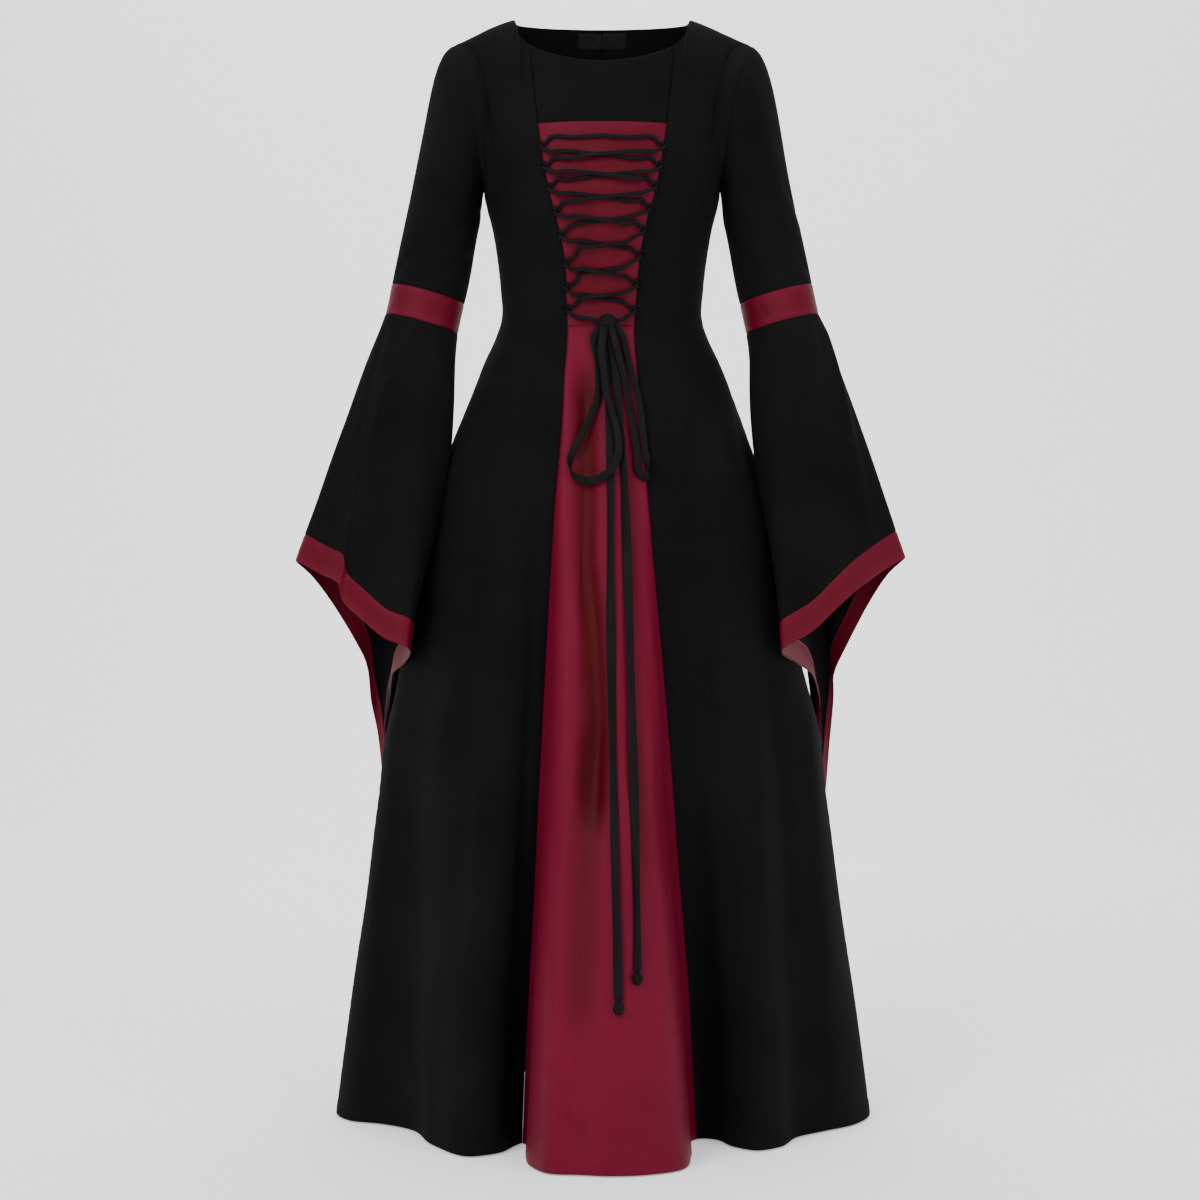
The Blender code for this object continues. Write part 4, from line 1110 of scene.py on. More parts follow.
def darkened(wiring, colour, by, share):
    """Colour multiplied by another one, as far as the share from a socket says."""
    mixed = wiring.add("ShaderNodeMix", data_type="RGBA", blend_type="MULTIPLY")
    mixed.inputs[7].default_value = (*by, 1.0)
    wiring.join(share, mixed.inputs[0])
    wiring.join(colour, mixed.inputs[6])
    return mixed.outputs[2]


def roughened(wiring, shader, tone, roughness):
    """Roughness between its two values by the fine mottling."""
    low, high = roughness
    level = wiring.maths("MULTIPLY_ADD", tone.outputs["Fine"], high - low, low)
    wiring.join(level, shader.inputs["Roughness"])


def dented(wiring, shader, height, strength, distance):
    """Relief of a finish from a height socket; distance is in metres."""
    dent = wiring.add("ShaderNodeBump")
    dent.inputs["Strength"].default_value = strength
    dent.inputs["Distance"].default_value = distance
    wiring.join(height, dent.inputs["Height"])
    wiring.join(dent.outputs["Normal"], shader.inputs["Normal"])


# What a cloth's colour is multiplied by as painted shade in the depth of a fold hollow, and at a stitch
FOLD_SHADE_TONE = (0.50, 0.05, 0.14)
STITCH_TONE = (0.7, 0.7, 0.7)


def cloth_finish(name, dark, light, roughness, sheen, sheen_tint, specular, threads, warp, bump, stitch,
                 slow=9.0, edge_dark=0.75):
    """Woven cloth mottled between two tones, darker in seams, darkened by painted shade in its fold hollows,
    with weave and stitches raised.
    """
    finish, wiring, shader, place = bare_finish(name)
    seam = wiring.add("ShaderNodeAttribute", attribute_name="seam")
    tone = placed(wiring, TONE, Slow_scale=slow)
    wiring.join(place.outputs["Object"], tone.inputs["Vector"])
    weave = placed(wiring, WEAVE, Threads_per_metre=threads, Warp_share=warp)
    wiring.join(place.outputs["UV"], weave.inputs["Vector"])
    row = placed(wiring, STITCH)
    wiring.join(seam.outputs["Fac"], row.inputs["Seam"])
    wiring.join(place.outputs["UV"], row.inputs["Vector"])
    in_seam = wiring.maths("SUBTRACT", 1.0, wiring.maths("DIVIDE", seam.outputs["Fac"], 2.2), clamp=True)
    at_stitch = wiring.maths("MULTIPLY", row.outputs["Stitch"], stitch)
    # The hollow mark darkens the colour as painted shade in fold hollows, and as a flat darker tone on small
    # satin pieces
    hollow = wiring.add("ShaderNodeAttribute", attribute_name="hollow")
    colour = two_tones(wiring, dark, light, tone.outputs["Tone"])
    colour = darkened(wiring, colour, (edge_dark, edge_dark, edge_dark), in_seam)
    colour = darkened(wiring, colour, FOLD_SHADE_TONE, hollow.outputs["Fac"])
    colour = darkened(wiring, colour, STITCH_TONE, at_stitch)
    wiring.join(colour, shader.inputs["Base Color"])
    roughened(wiring, shader, tone, roughness)
    shader.inputs["Specular IOR Level"].default_value = specular
    shader.inputs["Sheen Weight"].default_value = sheen
    shader.inputs["Sheen Roughness"].default_value = 0.5
    shader.inputs["Sheen Tint"].default_value = (*sheen_tint, 1.0)
    height = wiring.maths("MULTIPLY", weave.outputs["Height"], 0.6)
    height = wiring.maths("MULTIPLY_ADD", tone.outputs["Fine"], 0.5, height)
    height = wiring.maths("SUBTRACT", height, wiring.maths("MULTIPLY", row.outputs["Dent"], 0.9 * stitch))
    height = wiring.maths("MULTIPLY_ADD", row.outputs["Stitch"], 0.8 * stitch, height)
    dented(wiring, shader, height, bump, 0.0004)
    return finish


def cord_finish(name, dark, light, roughness, specular, sheen, pitch, bump):
    """Plaited cord: two sets of slanting strands from its own UV map, with a faint gloss."""
    finish, wiring, shader, place = bare_finish(name)
    turned = wiring.add("ShaderNodeMapping")
    turned.inputs["Rotation"].default_value = (0.0, 0.0, math.radians(45.0))
    wiring.join(place.outputs["UV"], turned.inputs["Vector"])
    plait = placed(wiring, WEAVE, Threads_per_metre=pitch, Warp_share=0.1)
    wiring.join(turned.outputs[0], plait.inputs["Vector"])
    tone = placed(wiring, TONE, Slow_scale=30.0, Fine_scale=900.0)
    wiring.join(place.outputs["Object"], tone.inputs["Vector"])
    light_share = wiring.maths("MULTIPLY", plait.outputs["Height"], tone.outputs["Tone"])
    wiring.join(two_tones(wiring, dark, light, light_share), shader.inputs["Base Color"])
    roughened(wiring, shader, tone, roughness)
    shader.inputs["Specular IOR Level"].default_value = specular
    shader.inputs["Sheen Weight"].default_value = sheen
    dented(wiring, shader, plait.outputs["Height"], bump, 0.0005)
    return finish


BLACK = cloth_finish("black cloth", dark=(0.0030, 0.0030, 0.0031), light=(0.0054, 0.0053, 0.0055),
                     roughness=(0.84, 0.96), sheen=0.004, sheen_tint=(0.9, 0.92, 1.0), specular=0.035,
                     threads=1400.0, warp=0.2, bump=0.35, stitch=0.5)
SATIN = cloth_finish("wine satin", dark=(0.086, 0.0003, 0.0105), light=(0.108, 0.0008, 0.0150),
                     roughness=(0.42, 0.56), sheen=0.012, sheen_tint=(1.0, 0.30, 0.48), specular=0.09,
                     threads=2200.0, warp=0.55, bump=0.30, stitch=0.7, slow=7.0, edge_dark=0.6)
TAPE = cloth_finish("label tape", dark=(0.0060, 0.0060, 0.0060), light=(0.0100, 0.0100, 0.0100),
                    roughness=(0.60, 0.75), sheen=0.01, sheen_tint=(1.0, 1.0, 1.0), specular=0.08,
                    threads=2600.0, warp=0.3, bump=0.30, stitch=0.9, slow=60.0)
CORD = cord_finish("black cord", dark=(0.0025, 0.0025, 0.0027), light=(0.0062, 0.0060, 0.0063),
                   roughness=(0.50, 0.66), specular=0.07, sheen=0.004, pitch=620.0, bump=0.55)


def front_frame(across, drop):
    """Point, outward normal, direction outward across and direction down on the centre front."""
    if drop >= BUST_DROP:
        level = level_at(drop)
    else:
        way = np.linspace(0.001, 1, 60)
        heights = body("centre", 1, np.full(60, across), way)[:, 2]
        level = float(np.interp(-drop, heights, way))
    step = 1.0 if level < 0 else 0.01
    point = body("centre", 1, across, level)
    left = body("centre", 1, np.clip(across - 0.01, -1, 1), level)
    right = body("centre", 1, np.clip(across + 0.01, -1, 1), level)
    low = body("centre", 1, across, level - step)
    normal = unit(np.cross(right - left, point - low))
    down = unit(low - point)
    return point, normal, unit(np.cross(normal, down)), down


GORE_TOP_DROP = 405.0


def rise(point, drop):
    """How far the folded gore stands out at a point; a cord bridges most of a hollow and lies on a ridge."""
    height = float(folds(FOLDS["front_gore"], np.array(float(drop)), np.array(float(point[0]))))
    return max(height, 0.35 * height)


def over_cloth(across, drop, height):
    """Point above the centre front cloth."""
    point, normal, right, down = front_frame(across, drop)
    return point + normal * (height + (rise(point, drop) if drop > GORE_TOP_DROP else 0.0))


def at_edge(side, drop, offsets):
    """Points given as down, in and height, placed at a lacing loop on one edge of the stomacher."""
    point, normal, right, down = front_frame(0.999 * side, drop)
    return np.array([point + down * along - right * side * inward + normal * height
                     for along, inward, height in offsets])


KNOT_CENTRE = over_cloth(0.12, 398.0, 11.5)
KNOT_SIZE = (11.0, 9.0, 8.5)


def lace_path(first_side, crossing_height):
    """Half of the lace: from the middle of the top bar down through every second loop to the bow."""
    points = [over_cloth(-0.012 * first_side, 169.0, 4.5 + 0.6 * first_side),
              over_cloth(0.4 * first_side, 171.0, 4.0)]
    side = first_side
    for row, drops in enumerate(LOOP_DROPS):
        drop = drops[0] if side < 0 else drops[1]
        points += list(at_edge(side, drop, LACE_TURN))
        if row + 1 < len(LOOP_DROPS):
            next_drop = LOOP_DROPS[row + 1][0] if side > 0 else LOOP_DROPS[row + 1][1]
            middle = 0.5 * (drop + next_drop)
            points.append(over_cloth(0.55 * side, middle - 4.5, 0.5 * (5.6 + crossing_height)))
            points.append(over_cloth(0.18 * side, middle - 1.5, crossing_height))
            points.append(over_cloth(-0.18 * side, middle + 1.5, crossing_height))
            points.append(over_cloth(-0.55 * side, middle + 4.5, 0.5 * (3.0 + crossing_height)))
        side = -side
    side = -side
    points.append(KNOT_CENTRE + np.array((side * 21.0, 4.5, 4.0)))
    points.append(KNOT_CENTRE + np.array((side * 12.6, 3.0, 1.5)))
    points.append(KNOT_CENTRE + np.array((side * 6.0, 1.0, 1.0)))
    return even(points, 1.6)


def even(knots, spacing):
    """Evenly spaced points of the cubic curve through the knots."""
    knots = np.array(knots)
    run = run_of(knots)
    return through(run, knots, np.linspace(0, run[-1], max(2, int(round(run[-1] / spacing)) + 1)))


def across_of(x, drop):
    """Share across the centre part at which a point of the cloth has the given x."""
    shares = np.linspace(-0.98, 0.98, 80)
    return float(np.interp(x, body("centre", 1, shares, level_at(drop))[:, 0], shares))


def hang(rows, starts, ends, spacing):
    """Evenly spaced points from starts, along rows of x, drop and height over the cloth, to ends."""
    knots = list(starts)
    for x, drop, height in rows:
        knots.append(over_cloth(across_of(x, drop), float(drop), height))
    return even(knots + list(ends), spacing)


def oblong(sides):
    """Rounded oblong: its angles, and cos(a)^0.8 and sin(a)^0.8 with their signs kept."""
    angle = 2 * math.pi * np.arange(sides) / sides
    wide = np.sign(np.cos(angle)) * np.abs(np.cos(angle)) ** 0.8
    high = np.sign(np.sin(angle)) * np.abs(np.sin(angle)) ** 0.8
    return angle, wide, high


def flat_cord(name, path, width, thick, twist, finish, clear, sides=16):
    """Flat cord along a path: its section is a rounded oblong turned by twist radians about the path.

    Point = path + across * width / 2 * cos(a)^0.8 + face * thick / 2 * sin(a)^0.8, closed in half ovals at
    the ends. clear is the reach toward the cloth that the path already leaves room for.
    """
    path = np.array(path)
    reach = 0.5 * np.abs(np.sin(twist)) * width + 0.5 * np.abs(np.cos(twist)) * thick
    path[:, 1] -= np.maximum(reach - clear, 0)
    run = run_of(path)
    along = unit(np.gradient(path, axis=0))
    side = unit(np.cross(along, np.array((0.0, -1.0, 0.12))))
    face = np.cross(side, along)
    turn_x, turn_y = np.cos(twist)[:, None], np.sin(twist)[:, None]
    across, up = side * turn_x + face * turn_y, face * turn_x - side * turn_y
    ends = np.sqrt(np.clip(np.minimum(run, run[-1] - run) / (0.6 * thick), 0, 1) * 0.98 + 0.02)
    angle, wide, high = oblong(sides)
    ring = path[:, None] + 0.5 * (width * ends)[:, None, None] * across[:, None] * wide[:, None]
    ring = ring + 0.5 * (thick * ends)[:, None, None] * up[:, None] * high[:, None]
    uv_round = np.append(angle, 2 * math.pi) / (2 * math.pi) * float(np.mean(width + thick)) * 1.7
    thing = tube_mesh(name, ring, path[0], path[-1], uv_round, run, finish)
    return thing, path, float(run[-1]) * MM


def tube_mesh(name, ring, first, last, round_run, run, finish):
    """Mesh of rings joined in order, with a pole at each end, and a UV map of the way round and along."""
    rows, sides = ring.shape[:2]
    points = np.concatenate([ring.reshape(-1, 3), [first, last]]) * MM
    number = np.arange(rows * sides).reshape(rows, sides)
    wide = np.concatenate([number, number[:, :1]], axis=1)
    uv = np.stack(np.broadcast_arrays(round_run[None, :], run[:, None]), axis=-1) * MM
    quads = cells(wide)
    quad_uv = np.stack([uv[:-1, :-1], uv[:-1, 1:], uv[1:, 1:], uv[1:, :-1]], axis=-2).reshape(-1, 2)
    low = np.stack([wide[0, 1:], wide[0, :-1], np.full(sides, rows * sides)], axis=-1)
    low_uv = np.stack([uv[0, 1:], uv[0, :-1], uv[0, :-1]], axis=-2).reshape(-1, 2)
    high = np.stack([wide[-1, :-1], wide[-1, 1:], np.full(sides, rows * sides + 1)], axis=-1)
    high_uv = np.stack([uv[-1, :-1], uv[-1, 1:], uv[-1, 1:]], axis=-2).reshape(-1, 2)
    if inside_out(points[quads]):
        quads, low, high = quads[:, ::-1], low[:, ::-1], high[:, ::-1]
        quad_uv = quad_uv.reshape(-1, 4, 2)[:, ::-1].reshape(-1, 2)
        low_uv = low_uv.reshape(-1, 3, 2)[:, ::-1].reshape(-1, 2)
        high_uv = high_uv.reshape(-1, 3, 2)[:, ::-1].reshape(-1, 2)
    mesh = bpy.data.meshes.new(name)
    mesh.from_pydata(points.tolist(), [], quads.tolist() + low.tolist() + high.tolist())
    mesh.update()
    mesh.uv_layers.new(name="cord").data.foreach_set("uv", np.concatenate([quad_uv, low_uv, high_uv]).ravel())
    mesh.materials.append(finish)
    return finish_mesh(name, mesh)


LOOP_CENTRES = np.concatenate([at_edge(hand, drop, ((0.0, 3.0, 4.0),))
                               for drops in LOOP_DROPS for hand, drop in ((-1, drops[0]), (1, drops[1]))])


def gathered(path, wide, narrow):
    """Width of a lace: narrow where it passes through a lacing loop, wide again 9 mm further on."""
    off = np.linalg.norm(path[:, None] - LOOP_CENTRES[None], axis=2).min(axis=1)
    return narrow + (wide - narrow) * smooth((off - 4.0) / 9.0)


# Widths and thicknesses of the lace, wide between its loops and gathered at them, and of a lacing loop
LACE_WIDE, LACE_NARROW = 5.4, 3.9
LACE_THIN, LACE_THICK = 2.7, 3.3
LOOP_WIDTH, LOOP_THICKNESS = 2.4, 2.2
# Reach toward the cloth that the routes leave room for
LACE_CLEAR, HANGING_CLEAR, LOOP_CLEAR = 2.2, 3.0, 2.0

LACE_ENDS = {}
for word, hand, height in (("left", -1, 3.0), ("right", 1, 8.2)):
    route = lace_path(hand, height)
    way = run_of(route)
    twist = 0.24 * np.sin(way / 19 + hand) + 0.16 * np.sin(way / 7.3)
    LACE_ENDS[word] = flat_cord("lace_" + word, route, gathered(route, LACE_WIDE, LACE_NARROW),
                                gathered(route, LACE_THIN, LACE_THICK), twist, CORD, LACE_CLEAR)


def hanging_cord(name, rows, starts, ends, spacing, width, thick, twist):
    """Flat cord from the knot along its rows; width and twist are worked out from the distance along it."""
    route = hang(rows, [KNOT_CENTRE + np.array(place) for place in starts],
                 [KNOT_CENTRE + np.array(place) for place in ends], spacing)
    way = run_of(route)
    return flat_cord(name, route, width(way), np.full(len(way), thick), twist(way), CORD, HANGING_CLEAR)


bow_left = hanging_cord(
    "bow_left", BOW_LEFT, [(-4.5, -1.0, 0.5)], [(-3.4, -4.4, -3.2)], 1.8,
    lambda way: 9.2 + 0.7 * np.sin(way / 31), 2.5,
    lambda way: 0.35 * np.sin(way / 47) + math.pi * smooth((way - 168) / 60))
bow_right = hanging_cord(
    "bow_right", BOW_RIGHT, [(4.5, -1.0, 0.5)], [(3.4, -4.4, -3.2)], 1.8,
    lambda way: 9.0 + 0.7 * np.sin(way / 37 + 1), 2.5,
    lambda way: -0.4 * np.sin(way / 41 + 0.4) - math.pi * smooth((way - 170) / 46))
tail_left = hanging_cord(
    "lace_tail_left", TAIL_LEFT, [(-3.0, 2.0, -3.0), (-4.4, 3.6, -10.2)], [], 2.2,
    lambda way: 10.4 + 0.9 * np.sin(way / 53), 2.4,
    lambda way: 0.6 * np.sin(way / 71 + 0.8))
tail_right = hanging_cord(
    "lace_tail_right", TAIL_RIGHT, [(3.0, 2.0, -3.0), (4.4, 3.6, -10.2)], [], 2.2,
    lambda way: 11.0 + 0.9 * np.sin(way / 47 + 2), 2.4,
    lambda way: 0.6 * np.sin(way / 83 + 2.4))

for index, drops in enumerate(LOOP_DROPS):
    for word, hand, drop in (("left", -1, drops[0]), ("right", 1, drops[1])):
        place = word + "_" + str(index + 1)
        route = even(at_edge(hand, drop, LOOP_PATH), 0.9)
        points = len(route)
        loop = flat_cord("lacing_loop_" + place, route, np.full(points, LOOP_WIDTH),
                         np.full(points, LOOP_THICKNESS), np.zeros(points), CORD, LOOP_CLEAR, 10)[0]
        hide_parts("lace_loop_" + place)
        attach(loop, "root")


def knot(name, centre, size, lean, finish, rows=44, sides=64):
    """Pulled knot: an ovoid swollen into three slanting strands.

    Its radii are multiplied by 0.98 + 0.13 * |cos(1.5 * turn + lean * (polar - pi / 2))|^0.6.
    """
    polar = np.linspace(0.03, math.pi - 0.03, rows)[:, None]
    turn = (2 * math.pi * np.arange(sides) / sides)[None]
    strand = 0.98 + 0.13 * np.abs(np.cos(1.5 * turn + lean * (polar - 0.5 * math.pi))) ** 0.6
    spot = np.stack([size[0] * np.sin(polar) * np.cos(turn), size[1] * np.sin(polar) * np.sin(turn),
                     size[2] * np.cos(polar) + 0 * turn], axis=-1)
    ring = centre + spot * strand[..., None]
    mean = 0.5 * (size[0] + size[1])
    round_run = np.append(turn.ravel(), 2 * math.pi) * mean
    ends = centre + np.array([(0, 0, size[2] * 0.95), (0, 0, -size[2] * 0.95)])
    return tube_mesh(name, ring, ends[0], ends[1], round_run, polar.ravel() * mean, finish)


def wrap(name, centre, reach, width, thick, finish, rows=72, sides=14):
    """Closed band round a knot: a flat rounded section carried round a leaning oval."""
    turn = 2 * math.pi * np.arange(rows + 1) / rows
    oval = [1.6 * np.cos(turn + 0.4), reach[0] * np.cos(turn), reach[1] * np.sin(turn)]
    path = centre + np.stack(oval, axis=-1)
    out = unit(path - centre)
    along = unit(np.gradient(path, axis=0))
    along[0] = along[-1] = unit(along[0] + along[-1])
    across = unit(np.cross(along, out))
    angle, wide, high = oblong(sides)
    ring = path[:, None] + 0.5 * width * across[:, None] * wide[:, None]
    ring = ring + 0.5 * thick * out[:, None] * high[:, None]
    number = np.arange(rows * sides).reshape(rows, sides)
    number = np.concatenate([number, number[:1]])
    number = np.concatenate([number, number[:, :1]], axis=1)
    quads = cells(number)
    uv = np.stack(np.broadcast_arrays((np.append(angle, 2 * math.pi) * (width + thick) / 4)[None],
                                      run_of(path)[:, None]), axis=-1) * MM
    corner_uv = np.stack([uv[:-1, :-1], uv[:-1, 1:], uv[1:, 1:], uv[1:, :-1]], axis=-2)
    points = ring[:-1].reshape(-1, 3) * MM
    corner = points[quads] - centre * MM
    flip = np.sum(np.cross(corner[:, 1] - corner[:, 0], corner[:, 2] - corner[:, 0])
                  * (corner.mean(axis=1) - np.repeat(path[:-1] - centre, sides, axis=0) * MM)) < 0
    if flip:
        quads, corner_uv = quads[:, ::-1], corner_uv.reshape(-1, 4, 2)[:, ::-1]
    mesh = bpy.data.meshes.new(name)
    mesh.from_pydata(points.tolist(), [], quads.tolist())
    mesh.update()
    mesh.uv_layers.new(name="cord").data.foreach_set("uv", corner_uv.ravel())
    mesh.materials.append(finish)
    return finish_mesh(name, mesh)


TIP_KNOT_SIZE = (5.9, 4.6, 7.3)
TIP_KNOT_OFF = 7.6

lace_knot = knot("lace_knot", KNOT_CENTRE, KNOT_SIZE, 1.1, CORD)
lace_knot_wrap = wrap("lace_knot_wrap", KNOT_CENTRE, (8.6, 8.2), 7.0, 2.4, CORD)
tip_knots = {}
for word, tail in (("left", tail_left), ("right", tail_right)):
    heading = unit(tail[1][-1] - tail[1][-4])
    tip_knots[word] = knot("tip_knot_" + word, tail[1][-1] + heading * TIP_KNOT_OFF, TIP_KNOT_SIZE, 2.3,
                           CORD, 30, 40)
for piece, stands_for in (
        (lace_knot, "bow_knot"),
        (lace_knot_wrap, None),
        (tip_knots["left"], "end_knot_left"),
        (tip_knots["right"], "end_knot_right"),
        (LACE_ENDS["left"][0], "lace_left_start"),
        (LACE_ENDS["right"][0], "lace_right_start"),
        (bow_left[0], "bow_loop_left"),
        (bow_right[0], "bow_loop_right"),
        (tail_left[0], "tail_left"),
        (tail_right[0], "tail_right")):
    if stands_for:
        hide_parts(stands_for)
    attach(piece, "root")


def fine(values, parts):
    """Each stretch between neighbouring values cut in equal parts."""
    values = np.asarray(values, float)
    share = np.arange(parts) / parts
    inner = values[:-1, None] + (values[1:] - values[:-1])[:, None] * share
    return np.append(inner.ravel(), values[-1])


def edged(values, margin):
    """The values with two more close to each end, so that a rolled edge has rows to bend in."""
    low, high = values[0], values[-1]
    more = [low + margin, low + 2.2 * margin, high - 2.2 * margin, high - margin]
    return np.sort(np.concatenate([values, more]))


SIDE_GROWTH = 0.034
CUFF_GROWTH = 0.015
HEM_STITCHING = 17.0


def body_piece(name, part, side, across, levels, outside, hem=None, flat_end=False):
    """One cut piece of the body on a grid of the gown's outer face, with its folds.

    The skirt's sides stand out a little over the hips: x grows by up to 3.4 % of itself at the side seams,
    and by 1.5 % more beside the left cuff's inner corner.
    """
    across = np.asarray(across, float)
    middle = 0.5 * (across[0] + across[-1])
    u, v = np.meshgrid(middle + (across - middle) * 1.0006, np.asarray(levels, float))
    grid = body(part, side, u, v)
    drop = -grid[..., 2]
    full = smooth((drop - 500) / 160) * smooth((1000 - drop) / 200)
    by_sleeve = np.exp(-((drop - 812) / 42) ** 2) * (grid[..., 0] < 0)
    at_side = np.clip(np.abs(grid[..., 0]) / 220, 0, 1) ** 2
    grid[..., 0] *= 1 + (SIDE_GROWTH * full + CUFF_GROWTH * by_sleeve) * at_side
    relief = folds(FOLDS.get(name, ()), drop, grid[..., 0])
    away = np.stack([grid[..., 0], grid[..., 1], 0 * drop], axis=-1)
    return sew(name + "_cloth", grid, relief, away, False, outside, outside, hem, flat_end=flat_end)


FRONT_COLUMNS_FINE = edged(fine(np.linspace(0, 1, FRONT_COLUMNS + 1), 6), 0.0045)
BACK_COLUMNS_FINE = edged(fine(np.linspace(0, 1, BACK_COLUMNS + 1), 6), 0.0035)
HEM_LEVEL, WAIST_LEVEL = level_at(HEM_DROP), level_at(WAIST_DROP)
SKIRT_ROWS = edged(np.linspace(HEM_LEVEL, WAIST_LEVEL + 0.08, 190), 1.2)
WAIST_ROWS = np.linspace(WAIST_LEVEL - 0.08, 0, 40)
BUST_ROWS = fine((0, SPLIT), 14)
YOKE_ROWS = fine((SPLIT, 1), 26)
LOW_SIDE_ROWS = np.sort(np.concatenate([np.linspace(HEM_LEVEL, 0, 232), [HEM_LEVEL + 1.2, HEM_LEVEL + 2.6]]))
SIDE_ROWS = np.concatenate([LOW_SIDE_ROWS, BUST_ROWS[1:-1], edged(YOKE_ROWS, 0.006)])
STOMACHER_ROWS = np.concatenate([edged(WAIST_ROWS, 1.2)[:-2], BUST_ROWS[1:-1],
                                 [SPLIT - 0.012, SPLIT - 0.005, SPLIT + 0.0006]])

body_piece("front_gore", "centre", 1, edged(np.linspace(-1, 1, 96), 0.008), SKIRT_ROWS, SATIN, HEM_STITCHING)
body_piece("stomacher", "centre", 1, edged(np.linspace(-1, 1, 72), 0.012), STOMACHER_ROWS, SATIN)
body_piece("centre_front_yoke", "centre", 1, edged(np.linspace(-1, 1, 72), 0.010),
           np.concatenate([[SPLIT - 0.0006], edged(YOKE_ROWS, 0.008)[1:]]), BLACK)
for word, hand in (("left", -1), ("right", 1)):
    body_piece("front_" + word, "front", hand, FRONT_COLUMNS_FINE, SIDE_ROWS, BLACK, HEM_STITCHING, True)
    body_piece("back_" + word, "back", hand, BACK_COLUMNS_FINE, SIDE_ROWS, BLACK, HEM_STITCHING, True)


def sleeve_part(name, surface, side, shares, ways, finish, flat_start=False):
    """One closed ring of sleeve cloth on a fine grid, with its folds; side -1 mirrors it to the left."""
    u, v = np.broadcast_arrays(np.asarray(shares, float)[None], np.asarray(ways, float))
    grid = surface(u, v) * np.array((side, 1.0, 1.0))
    share_down = (v - v.min()) / (v.max() - v.min())
    relief = folds(SLEEVE_FOLDS.get(name, ()), share_down, u, 1.0)
    away = grid - grid.mean(axis=1, keepdims=True)
    return sew(name + "_cloth", grid, relief, away, True, finish, finish, flat_start=flat_start)


ARM_SHARES = np.arange(112) / 112
BELL_SHARES = fine(tuple(BELL_COLUMNS) + (1.0,), 4)[:-1]
for word, hand, table in (("left", -1, BELL_LEFT), ("right", 1, BELL_RIGHT)):
    def bell_here(share, way, rows=table, lean=(-7.5 if hand < 0 else -5.0)):
        """Bell with its front inner corner moved toward the skirt: lean * exp(-((share - 0.34) / 0.07)^2)."""
        moved = lean * np.exp(-((share - 0.34) / 0.07) ** 2) * smooth((way - 0.2) / 0.5)
        return bell(rows, share, way) + moved[..., None] * np.array((1.0, 0.15, 0.0))

    sleeve_part("upper_sleeve_" + word, upper_sleeve, hand, ARM_SHARES,
                edged(np.linspace(0.0, 1.0, 84), 0.006)[:, None], BLACK, flat_start=True)
    sleeve_part("elbow_band_" + word, elbow_band, hand, ARM_SHARES,
                edged(np.linspace(-0.004, 1.004, 22), 0.03)[:, None], SATIN)
    end_way = cuff_start(table, BELL_SHARES)[None]
    rows = edged(np.linspace(0.0, 1.0, 110), 0.004)[:, None] * end_way
    sleeve_part("bell_sleeve_" + word, bell_here, hand, BELL_SHARES, rows, BLACK)
    rows = end_way + edged(np.linspace(-0.004, 1.0, 20), 0.03)[:, None] * (1 - end_way)
    sleeve_part("cuff_band_" + word, bell_here, hand, BELL_SHARES, rows, SATIN)


TAPE_WALL = 0.6


def neck_label():
    """Plain tape sewn inside the back of the neck, just off the back panels' inner face."""
    low = SPLIT + 0.68 * (1 - SPLIT)
    place = np.linspace(-1.05, 1.05, 43)
    share = low + np.linspace(0.42, 0.90, 25) * (1 - low)
    u, v = np.meshgrid(place, share)
    column = (BACK_COLUMNS - np.abs(u)) / BACK_COLUMNS
    grid = np.where(u[..., None] < 0, body("back", -1, column, v), body("back", 1, column, v))
    normal = facing(grid, np.stack([0 * u, 1 + 0 * u, 0 * u], axis=-1), False)
    grid = grid + normal * uneven(grid)[..., None] - normal * (WALL + 0.35)
    grid = grid - normal * 0.7 + normal * uneven(grid)[..., None]
    front = np.stack([0 * u, -1 + 0 * u, 0 * u], axis=-1)
    sew("neck_label_tape", grid, 0 * u, front, False, TAPE, TAPE, wall=TAPE_WALL)


neck_label()

# How each sewn piece is held, and what it hangs from
HELD = {
    "centre_front_yoke": ("black_cloth", "hung", ("front_left_cloth", "front_right_cloth")),
    "stomacher": ("wine_satin", "stretched",
                  ("centre_front_yoke_cloth", "front_left_cloth", "front_right_cloth")),
    "front_gore": ("wine_satin", "hung", ("stomacher_cloth",)),
    "front_left": ("black_cloth", "hung", ("back_left_cloth",)),
    "front_right": ("black_cloth", "hung", ("back_right_cloth",)),
    "back_left": ("black_cloth", "hung", ("front_left_cloth",)),
    "back_right": ("black_cloth", "hung", ("front_right_cloth",)),
    "neck_label": ("label_cloth", "laid", ("back_left_cloth", "back_right_cloth")),
}
for word in ("left", "right"):
    panels = ("front_" + word + "_cloth", "back_" + word + "_cloth")
    HELD["upper_sleeve_" + word] = ("black_cloth", "hung", panels)
    HELD["elbow_band_" + word] = ("wine_satin", "hung", ("upper_sleeve_" + word + "_cloth",))
    HELD["bell_sleeve_" + word] = ("black_cloth", "hung", ("elbow_band_" + word + "_cloth",))
    HELD["cuff_band_" + word] = ("wine_satin", "hung", ("bell_sleeve_" + word + "_cloth",))
for name, (slot, held, rests_on) in HELD.items():
    label = name + ("_tape" if name == "neck_label" else "_cloth")
    piece = bpy.data.objects[label]
    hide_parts(name)
    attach(piece, "root")
    wide, long, area = PIECES[label]
    wide, long = round(wide, 3), round(long, 3)
    if label.endswith("_tape"):
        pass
    else:
        area = min(round(area, 4), wide * long)
    print(label, "cut", wide, "by", long, "m, area", round(area, 4))


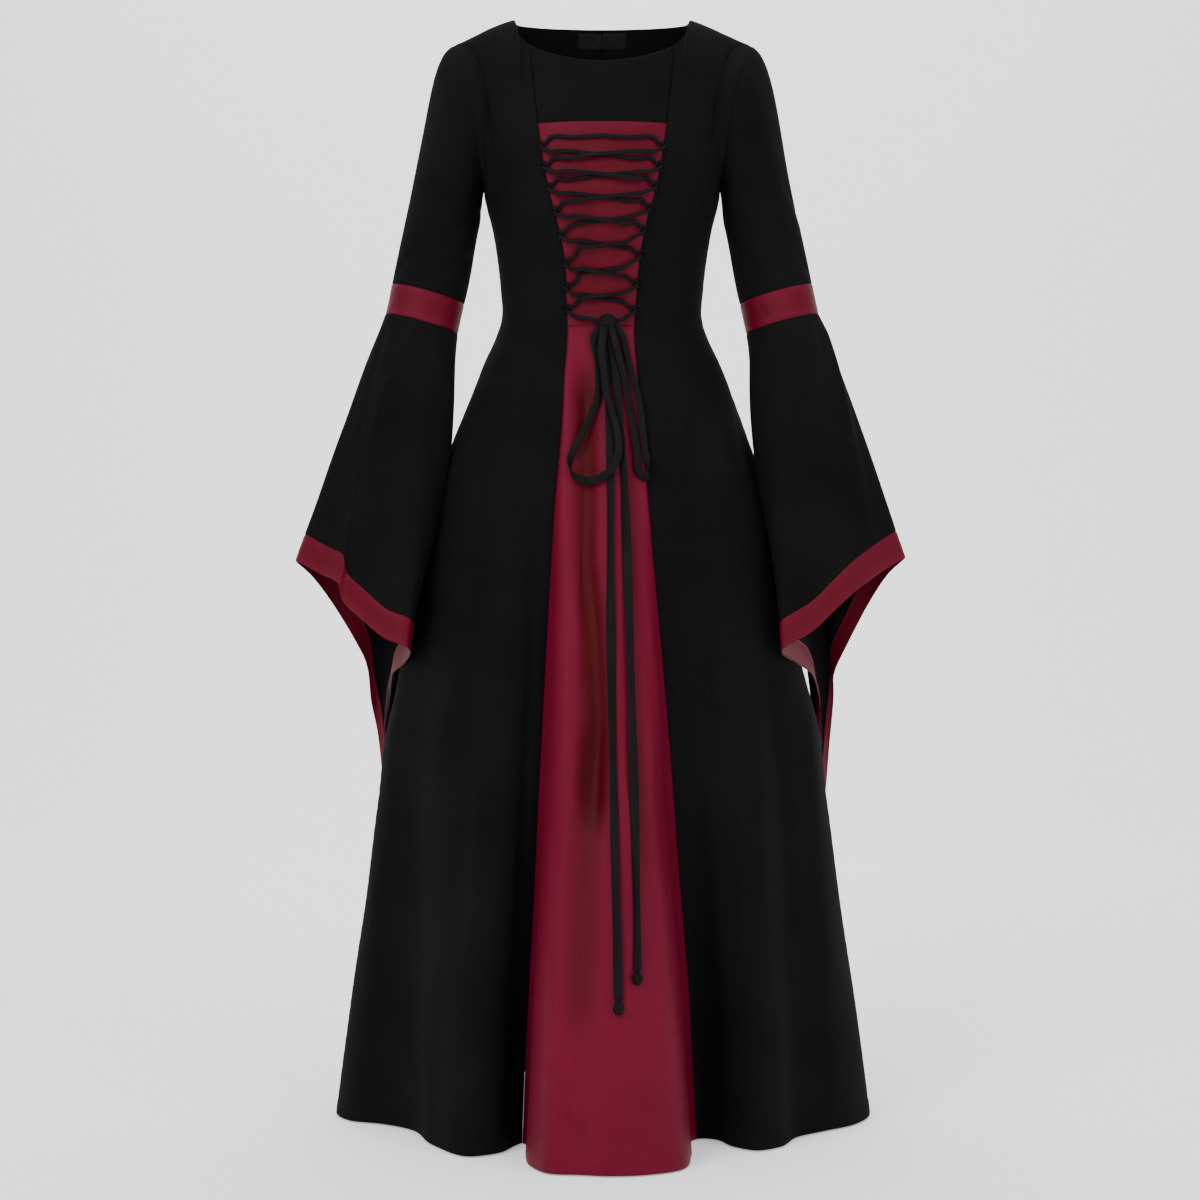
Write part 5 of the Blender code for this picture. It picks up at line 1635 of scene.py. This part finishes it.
def studio():
    """Pale sweep of floor and wall in one curve, and four broad soft lights."""
    floor, back, bend, top = -1.400, 4.6, 1.8, 6.0
    turn = np.linspace(0, 0.5 * math.pi, 25)
    depth = np.concatenate([np.linspace(-7, back - bend, 12), back - bend + bend * np.sin(turn[1:]),
                            np.full(8, back)])
    height = np.concatenate([np.full(12, floor), floor + bend - bend * np.cos(turn[1:]),
                             np.linspace(floor + bend, top, 9)[1:]])
    x = np.linspace(-9, 9, 19)
    points = np.stack([np.tile(x, len(depth)), np.repeat(depth, 19), np.repeat(height, 19)], axis=-1)
    number = np.arange(len(points)).reshape(-1, 19)
    quads = cells(number)
    mesh = bpy.data.meshes.new("studio_sweep")
    mesh.from_pydata(points.tolist(), [], quads.tolist())
    paint = bpy.data.materials.new("pale studio paint")
    paint.use_nodes = True
    shader = paint.node_tree.nodes["Principled BSDF"]
    shader.inputs["Base Color"].default_value = (0.86, 0.86, 0.86, 1.0)
    shader.inputs["Emission Color"].default_value = (1.0, 1.0, 1.0, 1.0)
    shader.inputs["Emission Strength"].default_value = 0.36
    shader.inputs["Roughness"].default_value = 0.95
    shader.inputs["Specular IOR Level"].default_value = 0.1
    mesh.materials.append(paint)
    finish_mesh("studio_sweep", mesh)
    for name, place, aim, size, power in (
            ("key_light", (-2.1, -3.4, 1.6), (0, 0, -0.75), 2.4, 150.0),
            ("fill_light", (2.7, -3.0, 0.4), (0, 0, -0.8), 2.6, 70.0),
            ("top_light", (0.0, -0.6, 3.0), (0, 0, -0.6), 2.6, 60.0),
            ("wall_light", (0.0, 2.4, 3.6), (0, 4.4, 0.2), 4.0, 190.0)):
        lamp = bpy.data.lights.new(name, "AREA")
        lamp.shape, lamp.size, lamp.energy = "SQUARE", size, power
        stand = bpy.data.objects.new(name, lamp)
        stand.location = place
        off = np.array(aim, float) - np.array(place, float)
        tilt = math.atan2(math.hypot(off[0], off[1]), -off[2])
        stand.rotation_euler = (tilt, 0.0, math.atan2(-off[0], off[1]))
        bpy.context.scene.collection.objects.link(stand)
    world = bpy.data.worlds.new("studio_air")
    world.use_nodes = True
    world.node_tree.nodes["Background"].inputs["Color"].default_value = (1.0, 1.0, 1.0, 1.0)
    world.node_tree.nodes["Background"].inputs["Strength"].default_value = 0.72
    bpy.context.scene.world = world


studio()
